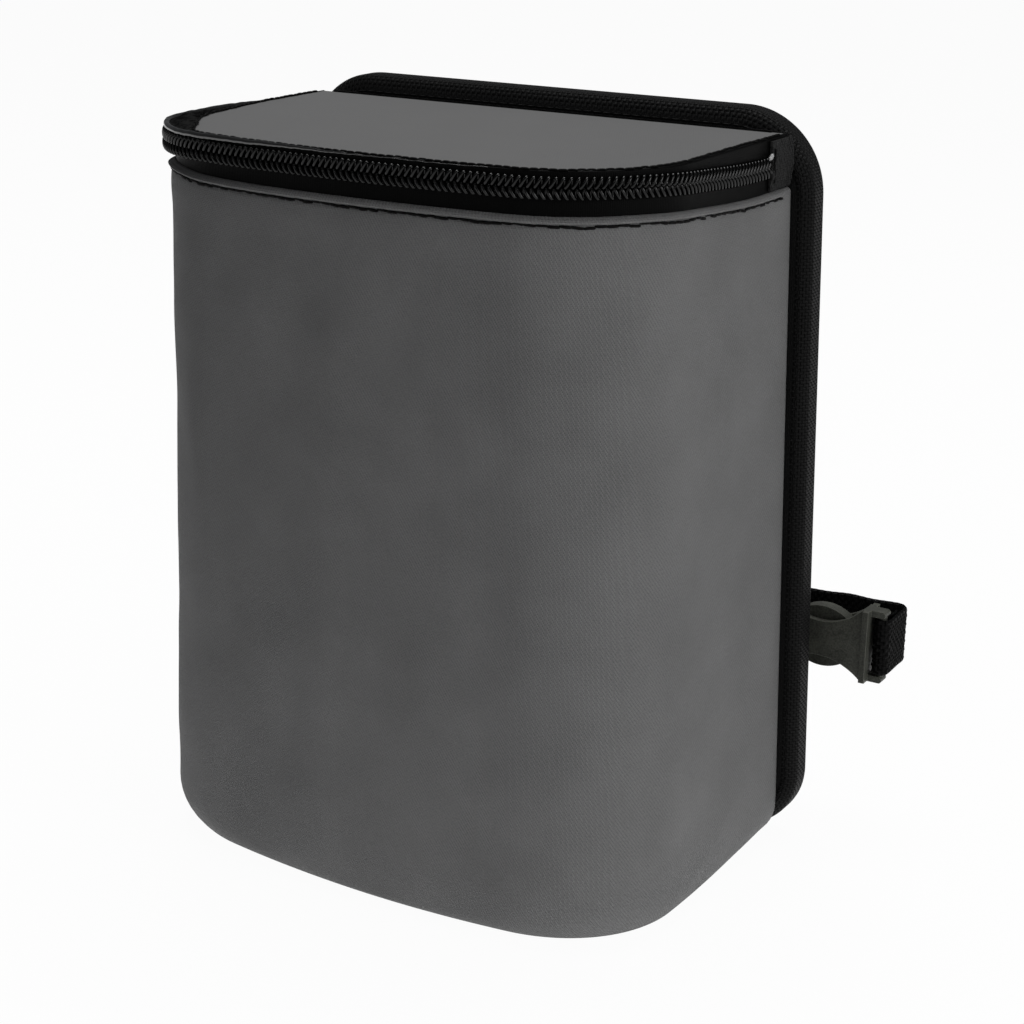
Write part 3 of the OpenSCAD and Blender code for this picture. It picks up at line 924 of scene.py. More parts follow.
@dataclass
class Stitching:
    """A row of thread stitches: each is a short bent tube that dips into the cloth at both ends."""

    pitch: float = 0.0029
    length: float = 0.0027
    radius: float = 0.00032
    sink: float = 0.0004
    wander: float = 0.0
    sides: int = 6
    rings: int = 7

    def run(self, line: Array, normal: Array, seed: int = 1) -> Surface:
        """Stitches along a line on a surface.

        Args:
            line: Points of the line, close together, n by 3.
            normal: The surface's normals there.
            seed: Seed of the stitches' wander.

        Returns:
            All stitches as one surface.
        """
        step = np.linalg.norm(np.diff(line, axis=0), axis=1)
        at = np.concatenate([[0.0], np.cumsum(step)])
        count = max(1, int((at[-1] - self.length) / self.pitch))
        start = np.arange(count) * self.pitch + (at[-1] - count * self.pitch) / 2
        share = np.linspace(0, 1, self.rings)
        where = start[:, None] + share * self.length
        centre = np.stack([np.interp(where, at, line[:, k]) for k in range(3)], -1)
        up = unit(np.stack([np.interp(where, at, normal[:, k]) for k in range(3)], -1))
        along = unit(np.gradient(centre, axis=1))
        side = unit(np.cross(along, up))
        rng = np.random.default_rng(seed)
        lean = rng.normal(0, self.wander, (count, 1, 1)) + self.wander * 1.2 * (share[:, None] - 0.5)
        rise = self.radius * 0.9 - self.sink * (2 * share - 1) ** 4
        centre = centre + up * rise[:, None] + side * lean
        thick = self.radius * (1 - 0.35 * (2 * share - 1) ** 6)
        turn = np.arange(self.sides) / self.sides * 2 * np.pi
        ring = side[..., None, :] * np.cos(turn)[:, None] + up[..., None, :] * np.sin(turn)[:, None] * 0.8
        return Surface.loft(centre[..., None, :] + ring * thick[:, None, None])


@dataclass(frozen=True)
class Hollow:
    """A soft hollow of the wall: its middle round the body and up the section, its depth and its reach."""

    s: float
    t: float
    deep: float
    wide: float
    high: float
    lean: float = 0.4

    def depth(self, s: Array, t: Array) -> Array:
        """The hollow's depth: a bell along s that leans with the height, times a bell up the section."""
        leaning = s + self.lean * (t - self.t)
        return self.deep * bump_at(leaning, self.s, self.wide) * bump_at(t, self.t, self.high)


HOLLOWS = (
    Hollow(0.205, 0.186, 0.0016, 0.010, 0.007),
    Hollow(0.176, 0.182, 0.0013, 0.009, 0.010),
    Hollow(0.150, 0.176, 0.0011, 0.012, 0.016),
    Hollow(0.224, 0.160, 0.0010, 0.012, 0.020),
    Hollow(0.178, 0.060, 0.0008, 0.030, 0.018),
)


@dataclass
class Bag:
    """The cloth body: outer wall with its hem, the bottom, the padding and the liner."""

    plan: BodyPlan = PLAN
    rows: int = 330
    columns: int = 150
    sim_rows: int = 112
    sim_columns: int = 76
    wall_columns: int = 108
    hem_columns: int = 36
    hem_band: float = 0.010
    hem_fold: float = 0.011
    hem_puff: float = 0.0011
    hem_relief: float = 0.0003
    hem_end: float = 0.007
    stitch_drop: float = 0.0021
    seam_ease: float = 0.03
    slow_dent: tuple[float, float] = (0.0009, 0.16)
    quick_dent: tuple[float, float] = (0.00028, 0.06)
    surface: Array = field(default_factory=lambda: np.zeros(0))

    @property
    def section_len(self) -> float:
        """Length of the wall's outer section."""
        return self.plan.bottom_r * math.pi / 2 + self.plan.hem_z - self.plan.bottom_r

    def dents(self, s: Array, t: Array) -> Array:
        """Soft hollows and swells of the wall, outwards: slow noise that fades at every seam."""
        length, top, ease = self.plan.length, self.section_len, self.seam_ease
        free = smooth_step(s, 0.0, ease) * smooth_step(length - s, 0.0, ease)
        free = free * smooth_step(t, 0.004, 0.045) * smooth_step(top - t, 0.002, ease)
        (slow_deep, slow_long), (quick_deep, quick_long) = self.slow_dent, self.quick_dent
        slow, quick = patch_noise(s, t * 0.7, 11, slow_long), patch_noise(s, t, 5, quick_long)
        swell = slow * slow_deep + quick * quick_deep
        return free * (swell - sum(hollow.depth(s, t) for hollow in HOLLOWS))

    def settle(self) -> None:
        """Works out the wall's outer face: its section round the plan, dented, then settled as cloth."""
        s, t = span((0, self.plan.length, self.sim_rows), (0, self.section_len, self.sim_columns))
        out, z = self.plan.profile(t)
        grid = self.plan.place(s, out + self.dents(s, t), z)
        pinned = np.zeros(grid.shape[:2], bool)
        for sewn in (np.s_[:, :3], np.s_[:, -5:], np.s_[:2], np.s_[-2:]):
            pinned[sewn] = True
        grid = ClothRun(pressure=0.5, shrink=-0.003, gravity=0.3, cap=0.0016).run(grid, pinned)
        self.surface = refine(grid, self.rows, self.columns)
        s, t = span((0, self.plan.length, self.rows), (0, self.section_len, self.columns))
        rising = smooth_step(t, self.section_len - self.seam_ease, self.section_len)
        self.surface[..., 2] += self.plan.lift(s) * rising

    def face(self, depth: float, t: Array) -> Array:
        """The wall's face at a depth under the outer face.

        Args:
            depth: Depth under the outer face.
            t: Distances up the section, one for each column.

        Returns:
            Points, rows by columns by 3.
        """
        s = np.linspace(0, self.plan.length, self.rows)[:, None]
        t = t[None, :]
        move = self.sample(s, t) - self.plan.place(s, *self.plan.profile(t))
        return self.plan.place(s, *self.plan.profile(t, depth)) + move

    def layer(self, depth: float, top: float, skip: int) -> Array:
        """The face at a depth under the outer face up to a height, with one row and column in each few."""
        t = np.linspace(0, self.section_len, self.columns)
        _, z = self.plan.profile(t)
        return self.face(depth, t[: int(np.searchsorted(z, top)) + 1])[::skip, ::skip]

    def flat(self, columns: int, skip: int) -> Array:
        """The flat map of a layer: distance round the body and up its section."""
        s, t = span((0, self.plan.length, self.rows), (0, self.section_len, self.columns))
        return spread(s[::skip], t[:, ::skip][:, :columns])

    def wall(self) -> bpy.types.Object:
        """The grey outer wall, with its hem puffed out above the stitches and rolled over at the top."""
        top, band = self.section_len, self.section_len - self.hem_band
        t = np.concatenate([np.linspace(0, band, self.wall_columns, endpoint=False),
                            np.linspace(band, top, self.hem_columns)])
        flat = np.stack(np.meshgrid(np.linspace(0, self.plan.length, self.rows), t, indexing="ij"), -1)
        s, drop = flat[..., 0], top - flat[..., 1]
        outer = self.face(0.0, t) + normals_out(s) * self.hem_form(s, drop)[..., None]
        inner = self.face(self.plan.fabric, t)
        surface = Surface.shell(outer, inner, flat)
        piece = surface.piece("wall_cloth", GREY_CLOTH, Body.ROOT)
        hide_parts("outer_wall")
        return piece

    def hem_roll(self, drop: Array) -> Array:
        """How far the wall's top edge rolls inwards, by the distance under the fold."""
        return -self.plan.fabric * 0.95 * (1 - smooth_step(drop, -0.0004, 0.0012)) ** 1.3

    def hem_form(self, s: Array, drop: Array) -> Array:
        """How far the hem stands out: a full lip over the stitches, a puckered groove, a soft swell below.

        Args:
            s: Distances round the body.
            drop: Distances under the fold.

        Returns:
            Distances outwards.
        """
        lip = 1 - smooth_step(drop, self.stitch_drop * 0.62, self.stitch_drop)
        puff = self.hem_puff * lip * smooth_step(drop, 0.0, self.stitch_drop * 0.6)
        pucker = 1.0 + 0.4 * soft_noise(s, 14, 0.012)
        groove = -self.hem_relief * bump_at(drop, self.stitch_drop, 0.0008) * pucker
        below = self.hem_relief * bump_at(drop, self.hem_fold * 0.62, 0.004)
        ends = smooth_step(s, 0.0, self.hem_end) * smooth_step(self.plan.length - s, 0.0, self.hem_end)
        return (puff + groove + below) * ends + self.hem_roll(drop)

    def hem_stitches(self) -> bpy.types.Object:
        """The black stitch line under the hem, slightly wavy, which lies on the wall's own face."""
        s = np.linspace(0.002, self.plan.length - 0.002, 1400)
        drop = self.stitch_drop + 0.0001 + 0.0002 * soft_noise(s, 3, 0.03)
        out = self.hem_form(s, drop) + 0.00005
        line = self.sample(s, self.section_len - drop) + normals_out(s) * out[:, None]
        row = Stitching(pitch=0.0030, length=0.0033, radius=0.00038, sink=0.0002, wander=0.00015).run(
            line, normals_out(s), 4)
        return row.piece("hem_stitches", THREAD, Body.ROOT)

    def sample(self, s: Array, t: Array) -> Array:
        """Points of the settled outer face at distances s round the body and t up the section."""
        i = np.clip(s / self.plan.length * (self.rows - 1), 0, self.rows - 1.001)
        j = np.clip(t / self.section_len * (self.columns - 1), 0, self.columns - 1.001)
        i, j = np.broadcast_arrays(i, j)
        i0, j0 = np.floor(i).astype(int), np.floor(j).astype(int)
        fi, fj = (i - i0)[..., None], (j - j0)[..., None]
        g = self.surface
        low = g[i0, j0] * (1 - fi) + g[i0 + 1, j0] * fi
        high = g[i0, j0 + 1] * (1 - fi) + g[i0 + 1, j0 + 1] * fi
        return low * (1 - fj) + high * fj

    def base(self) -> bpy.types.Object:
        """The grey bottom, sewn to the wall's lower edge."""
        cloth = plate(self.plan, -self.plan.bottom_r, 0.0, self.plan.fabric, 0.0, 90, 24)
        piece = cloth.piece("base_cloth", GREY_CLOTH, Body.ROOT)
        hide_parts("bottom_panel")
        cloth.area() / 2.03
        return piece

    def padding(self) -> bpy.types.Object:
        """The foam sheet between the wall and the liner."""
        top = self.plan.hem_z - 0.0065
        outer = self.layer(self.plan.fabric + self.plan.slack, top, 3)
        inner = self.layer(self.plan.liner_out - self.plan.slack, top, 3)
        flat = self.flat(outer.shape[1], 3)
        piece = Surface.shell(outer, inner, flat).piece("wall_padding", FOAM, Body.ROOT)
        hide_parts("wall_foam")
        return piece

    def liner(self) -> list[bpy.types.Object]:
        """The waterproof liner's wall, base and back, each a thin film with soft creases."""
        plan, ease = self.plan, self.seam_ease
        depth = plan.liner_out
        top = plan.hem_z - 0.0006
        outer = self.layer(depth, top, 2)
        flat = self.flat(outer.shape[1], 2)
        s, t = flat[..., 0], flat[..., 1]
        free = smooth_step(s, 0.0, 0.02) * smooth_step(plan.length - s, 0.0, 0.02)
        free = free * smooth_step(t, 0.0, ease) * smooth_step(self.section_len - t, 0.004, ease)
        crease = np.abs(patch_noise(s, t, 21, 0.05)) * 0.0011 * free
        inner = self.layer(depth + plan.liner, top, 2) - normals_out(s) * crease[..., None]
        wall = Surface.shell(outer - normals_out(s) * crease[..., None] * 0.9, inner, flat)
        piece = wall.piece("liner_side", LINER, Body.ROOT)
        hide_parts("liner_wall")
        base = plate(plan, -plan.bottom_r, depth, depth + plan.liner, plan.liner, 90, 24, 0.0004)
        floor = base.piece("liner_floor", LINER, Body.ROOT)
        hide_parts("liner_base")
        base.area() / 2.03
        return [piece, floor, self.liner_rear()]

    def liner_rear(self) -> bpy.types.Object:
        """The liner's back: a sheet whose sides follow the wall's section."""
        plan = self.plan
        depth = plan.liner_out
        t = np.linspace(0, self.section_len - 0.0005, 90)
        out, z = plan.profile(t, depth)
        down = np.clip((plan.hem_z - z) / (plan.hem_z - plan.bottom_r), 0, 1)
        half = plan.half + out + plan.side_flare * down
        u = np.linspace(-1, 1, 70)[:, None]
        x = u * half
        free = smooth_step(1 - np.abs(u), 0.0, 0.2) * smooth_step(z, 0.01, 0.04)
        free = free * smooth_step(plan.hem_z - z, 0.004, self.seam_ease)
        crease = np.abs(patch_noise(x, z, 8, 0.06)) * 0.0009 * free
        y_in = plan.back_y - plan.liner - crease
        inner = spread(x, y_in, z)
        surface = Surface.shell(spread(x, y_in + plan.liner * 0.9, z), inner, inner[..., (0, 2)])
        piece = surface.piece("liner_rear", LINER, Body.ROOT)
        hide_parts("liner_back")
        surface.area() / 2.02
        return piece


def normals_out(s: Array) -> Array:
    """Level unit directions outwards at distances s round the body."""
    _, normal = PLAN.along(s)
    return np.concatenate([normal, np.zeros(normal.shape[:-1] + (1,))], -1)


def plate(plan: BodyPlan, out: float, low: float, high: float, back_in: float,
          rows: int, columns: int, wave: float = 0.0, top_z: float | None = None) -> Surface:
    """A level sheet over the D plan: straight lines run from the rear edge to the way round the body.

    Args:
        plan: The body's plan.
        out: How far the edge stands outside the hem line.
        low: Height of the lower face.
        high: Height of the upper face.
        back_in: Distance from the rear edge to the panel.
        rows: Lines across the sheet.
        columns: Points on each line.
        wave: Height of its soft waves.
        top_z: Height at which the walls' spread is taken, or None for the lower face's.

    Returns:
        The closed sheet.
    """
    s = np.linspace(back_in, plan.length - back_in, rows)
    edge = plan.place(s, out, np.full_like(s, low if top_z is None else top_z))
    rear = np.stack([np.linspace(edge[0, 0], edge[-1, 0], rows), np.full(rows, plan.back_y - back_in)], -1)
    v = np.linspace(0, 1, columns)[None, :, None]
    xy = rear[:, None] * (1 - v) + edge[:, None, :2] * v
    x, y = xy[..., 0], xy[..., 1]
    rim = smooth_step(1 - v[..., 0], 0.0, 0.25) * smooth_step(v[..., 0], 0.0, 0.2)
    rise = wave * patch_noise(x, y, 17, 0.09) * rim
    return Surface.shell(spread(x, y, high + rise), spread(x, y, low + rise), xy)


@dataclass
class Lid:
    """The lid: grey top cloth, its lining and the fabric that hinges it to the panel."""

    plan: BodyPlan = PLAN
    cloth: float = 0.001
    lining: float = 0.0006
    board: float = 0.002
    rear_in: float = 0.0011
    swell: float = 0.00021
    hinge_in: float = 0.0017
    hinge_reach: float = 0.0015
    hinge_drop: float = 0.0010
    hinge_over: float = 0.0003
    strip_in: float = 0.006
    strip_thick: float = 0.0007
    strip_under: float = 0.010
    strip_over: float = 0.0004

    @property
    def strip_half(self) -> float:
        """Half the width of the strips at the hinge."""
        return self.plan.half - self.strip_in

    @property
    def edge_out(self) -> float:
        """How far the lid's edge stands outside the hem line, inside the tape."""
        return -self.plan.fabric - self.plan.tape

    def top_cloth(self) -> bpy.types.Object:
        """The grey top: a level sheet, laid over the board with faint swells."""
        top = self.plan.lid_z
        sheet = plate(self.plan, self.edge_out, top - self.cloth, top, self.rear_in, 200, 60,
                      self.swell, top)
        piece = sheet.piece("lid_cloth_top", LID_CLOTH, Body.LID)
        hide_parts("lid_top")
        sheet.area() / 2.03
        return piece

    def under_lining(self) -> bpy.types.Object:
        """The black lining under the board."""
        high = self.plan.lid_z - self.cloth - self.board
        sheet = plate(self.plan, self.edge_out, high - self.lining, high, self.rear_in, 160, 40,
                      top_z=self.plan.lid_z)
        piece = sheet.piece("lid_lining_cloth", BLACK_CLOTH, Body.LID)
        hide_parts("lid_lining")
        sheet.area() / 2.03
        return piece

    def hinge(self) -> bpy.types.Object:
        """The strip that the lid turns on: it bends between the lid's rear edge and the panel."""
        u, v = span((-1, 1, 120), (0, 1, 12))
        z = self.plan.lid_z + self.hinge_over - self.hinge_drop * v**2 + 0.00012 * np.sin(u * 90)
        upper = spread(u * self.strip_half, self.plan.back_y - self.hinge_in + self.hinge_reach * v, z)
        lower = upper - np.array([0, 0, self.strip_thick])
        piece = Surface.shell(upper, lower, upper[..., :2]).piece("lid_hinge_cloth", BLACK_CLOTH, Body.LID)
        piece.parent = None
        piece.matrix_world = Matrix.Identity(4)
        del piece["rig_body"]
        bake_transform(piece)
        return piece

    def rear_strip(self) -> bpy.types.Object:
        """The black strip on the panel's front, under the hinge."""
        u, v = span((-1, 1, 100), (0, 1, 12))
        x = u * self.strip_half
        z = self.plan.lid_z - self.strip_under + (self.strip_under + self.strip_over) * v
        swell = 0.00015 * np.sin(u * 60) * np.sin(v * np.pi)
        face = spread(x, self.plan.back_y - 0.0001 - self.strip_thick + swell, z)
        back = spread(x, self.plan.back_y - 0.0001, z)
        surface = Surface.shell(face, back, face[..., (0, 2)])
        piece = surface.piece("hinge_strip_cloth", BLACK_CLOTH, Body.ROOT)
        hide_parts("hinge_strip")
        return piece


@dataclass
class Zipper:
    """The zipper: two tapes, two coils of monofilament and the end tabs."""

    plan: BodyPlan = PLAN
    pitch: float = 0.0019
    coil_gap: float = -0.0007
    coil_height: float = 0.0034
    coil_proud: float = 0.0018
    coil_rise: float = 0.0006
    most_lift: float = 0.0028
    wire: float = 0.00047
    tape_bend: float = 0.0006
    tape_apart: float = 0.0004
    tape_under: float = 0.006
    fold: float = 0.0009
    corner_fold: float = 0.0056
    gather: float = 0.00055
    end_tab: float = 0.013
    slider_back: float = 0.008
    slider_len: float = 0.010

    @property
    def middle(self) -> float:
        """Height of the line where the coils mesh."""
        return self.plan.hem_z + self.plan.zip_gap / 2

    @property
    def tape_out(self) -> float:
        """Outer face of the tapes, outside the hem line."""
        return -self.plan.fabric

    def chain_lift(self, s: Array) -> Array:
        """How far the coils stand above their level line: as the hem does, and level on the left."""
        rise = self.coil_rise * self.plan.before_left(s)
        return np.minimum(self.plan.lift(s) + rise, self.most_lift)

    def lower_tape(self) -> bpy.types.Object:
        """The lower tape: a strip from behind the hem to the lower coil."""
        plan = self.plan
        low, high = plan.hem_z - self.tape_under, self.middle - self.tape_apart
        s, z = span((0.0002, plan.length - 0.0002, 420), (low, high, 14))
        wave = 0.00012 * soft_noise(s, 9, 0.04) * smooth_step(z, plan.hem_z, high)
        wave = wave + plan.swell(s) * smooth_step(z, plan.hem_z + 0.002, high)
        outer = plan.place(s, self.tape_out + wave, z)
        inner = plan.place(s, self.tape_out - plan.tape, z)
        for face in (outer, inner):
            face[..., 2] += self.chain_lift(s) * smooth_step(z, low - 0.004, plan.hem_z + 0.002)
        piece = Surface.shell(outer, inner, spread(s, z)).piece("zip_tape_lower", RIM_TAPE, Body.ROOT)
        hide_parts("lower_tape")
        return piece

    def fold_width(self, s: Array) -> Array:
        """How far the tape's fold reaches over the lid: narrow in front, wide past the left corner."""
        left = self.corner_fold * smooth_step(s, 0.214, 0.236) * (1 - smooth_step(s, 0.238, 0.300))
        rough = 0.00008 * soft_noise(s, 6, 0.010, 5)
        return self.fold + left + rough

    def upper_tape(self) -> bpy.types.Object:
        """The upper tape: up from the coil, round the lid's edge and flat on its top.

        Each line across it runs straight up, through a quarter round and inwards. At the left front
        corner the flat part is gathered: its height follows two crossed sines.
        """
        plan, bend = self.plan, self.tape_bend
        s, v = span((0.0012, plan.length - 0.0012, 640), (0, 1, 34))
        low = self.middle + self.tape_apart
        up = self.chain_lift(s)
        rise = self.plan.lid_z + 0.0002 - bend - low - up
        arc = bend * math.pi / 2
        d = v * (rise + arc + (self.fold_width(s) - bend))
        angle = np.clip((d - rise) / bend, 0, math.pi / 2)
        z = low + up + np.clip(d, 0, rise) + bend * np.sin(angle)
        flat = np.clip(d - rise - arc, 0, None)
        out = self.tape_out - bend * (1 - np.cos(angle)) - flat
        gathered = smooth_step(s, 0.212, 0.226) * (1 - smooth_step(s, 0.246, 0.285))
        crumple = np.sin(s * 2 * np.pi / 0.0062 + 620 * flat)
        crumple = crumple + 0.6 * np.sin(s * 2 * np.pi / 0.0037 - 380 * flat + 1)
        z = z + gathered * smooth_step(flat, 0.0, 0.0015) * (self.gather * crumple + 0.0007)
        z = z - gathered * 0.0004 * bump_at(flat, 0.0012, 0.0008)
        swell = plan.swell(s) * (1 - smooth_step(flat, 0.0, 0.004))
        outer = plan.above(s, out + swell, z)
        normal = normals_of(outer)
        if np.mean(normal[:, -3:, 2]) < 0:
            normal = -normal
        inner = outer - normal * (plan.tape / 2)
        inner -= normals_out(s) * swell[..., None]
        piece = Surface.shell(outer, inner, spread(s, d)).piece("zip_tape_upper", RIM_TAPE, Body.LID)
        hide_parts("upper_tape")
        return piece

    def rim_roll(self) -> bpy.types.Object:
        """The glossy roll of tape along the lid's edge, full at the left front corner and on the left."""
        s = np.linspace(0.120, 0.308, 600)
        radius = 0.0001 + 0.0008 * smooth_step(s, 0.140, 0.212) * (1 - smooth_step(s, 0.272, 0.304))
        out = self.tape_out + self.plan.swell(s) + radius * 0.4
        z = self.plan.lid_z + radius * 0.1 + 0.0001 * soft_noise(s, 2, 0.03)
        roll = tube(self.plan.above(s, out, z), radius, 12, UP)
        return roll.piece("lid_rim_roll", GLOSS, Body.LID)

    def coil_surface(self, sign: int, shift: float) -> Surface:
        """One coil: a wire that winds round an oval beside the tape, one turn for each tooth.

        Args:
            sign: 1 for the upper coil and -1 for the lower.
            shift: Distance by which its turns are moved along.

        Returns:
            The coil's tube.
        """
        start = self.end_tab + 0.001 + shift
        end = self.plan.length - self.slider_back + self.slider_len / 2 - 0.001
        turns, steps = int((end - start) / self.pitch), 18
        phase = np.arange(turns * steps + 1) / steps * 2 * np.pi
        s = start + phase / (2 * np.pi) * self.pitch
        half_h = self.coil_height / 2 - self.wire
        half_o = self.coil_proud / 2 - self.wire
        mid = self.middle + sign * (self.coil_gap / 2 + self.coil_height / 2)
        slant = 0.22 * self.pitch * np.sin(phase)
        out = self.tape_out + self.coil_proud / 2 + half_o * np.cos(phase) + self.plan.swell(s)
        z = mid - sign * half_h * np.sin(phase)
        path = self.plan.place(s + slant, out, z)
        path[:, 2] += self.chain_lift(s)
        near = 0.0005
        ahead = self.plan.place(s + near, self.tape_out, mid) - self.plan.place(s - near, self.tape_out, mid)
        return tube(path, self.wire, 6, unit(ahead))

    def coils(self) -> list[bpy.types.Object]:
        """Both coils, half a tooth apart."""
        made = []
        for name, node, sign, shift, body in (
            ("zip_coil_lower", "lower_coil", -1, 0.0, Body.ROOT),
            ("zip_coil_upper", "upper_coil", 1, self.pitch / 2, Body.LID),
        ):
            piece = self.coil_surface(sign, shift).piece(name, COIL, body, sharp=80)
            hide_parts(node)
            made.append(piece)
        return made

    def tab_cloth(self, right: bool) -> bpy.types.Object:
        """A folded tab over one end of the zipper, with soft hollows and a turned edge."""
        plan = self.plan
        length = self.end_tab if right else self.slider_back - self.slider_len / 2 - 0.001
        u, v = span((0, 1, 56), (0, 1, 44))
        s = u * length
        at = s if right else plan.length - s
        low = plan.hem_z + 0.0005 + plan.lift(at)
        high = self.plan.lid_z - (0.0006 if right else 0.0012)
        z = low + (high - low) * v
        face = -plan.fabric + 0.0003
        bulge = 0.0008 * np.sin(np.pi * v) ** 0.6 * (1 - 0.5 * smooth_step(u, 0.8, 1.0))
        bulge = bulge - 0.0006 * bump_at(s, 0.0025, 0.0012) * (0.5 + 0.5 * np.sin(v * 8.0 + 0.6))
        crinkle = 0.00026 * patch_noise(s, z, 31, 0.006)
        outer = plan.place(at, face + 0.0006 + bulge + crinkle, z)
        inner = plan.place(at, face, z)
        name = "right" if right else "left"
        piece = Surface.shell(outer, inner, spread(s, z)).piece(f"zip_end_{name}", TAB_CLOTH, Body.ROOT)
        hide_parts(f"end_tab_{name}")
        return piece

    def tab_stitches(self) -> bpy.types.Object:
        """The upright row of stitches through the right tab's edge."""
        plan = self.plan
        z = np.linspace(plan.hem_z - 0.0007, self.plan.lid_z - 0.0012, 120)
        s = np.full_like(z, self.end_tab - 0.0011)
        line = plan.place(s, -plan.fabric + 0.0013, z)
        row = Stitching(pitch=0.0019, length=0.0020, radius=0.00030, sink=0.0002, wander=0.0001).run(
            line, normals_out(s), 6)
        return row.piece("zip_tab_stitches", THREAD, Body.ROOT)

    def top_stop(self) -> bpy.types.Object:
        """The stop at the upper coil's right end: a short bent capsule, whose light grey colour is a painted
        highlight for the glint there.
        """
        share = np.linspace(-1, 1, 14)
        s = np.linspace(self.end_tab + 0.0004, self.end_tab + 0.0026, len(share))
        z = self.middle + self.coil_gap / 2 + self.coil_height * 0.9 + self.chain_lift(s)
        z = z + 0.0009 * smooth_step(-s, -self.end_tab - 0.0018, -self.end_tab - 0.0004)
        line = self.plan.above(s, self.tape_out + self.coil_proud * 0.75, z)
        radius = 0.00055 * np.sqrt(np.clip(1 - share**6, 0.12, 1))
        return tube(line, radius, 12, normals_out(s)).piece("zip_top_stop", STOP_GLINT, Body.LID)

    def edge_stitches(self) -> bpy.types.Object:
        """The row of stitches along the tape's fold on the lid."""
        s = np.linspace(0.004, self.plan.length - 0.004, 900)
        line = self.plan.above(s, self.tape_out - self.fold_width(s) + 0.0001, self.plan.lid_z + 0.00015)
        row = Stitching(pitch=0.0024, length=0.0027, radius=0.00034, sink=0.0002, wander=0.00016).run(
            line, np.broadcast_to(UP, line.shape), 8)
        return row.piece("lid_edge_stitches", THREAD, Body.LID)


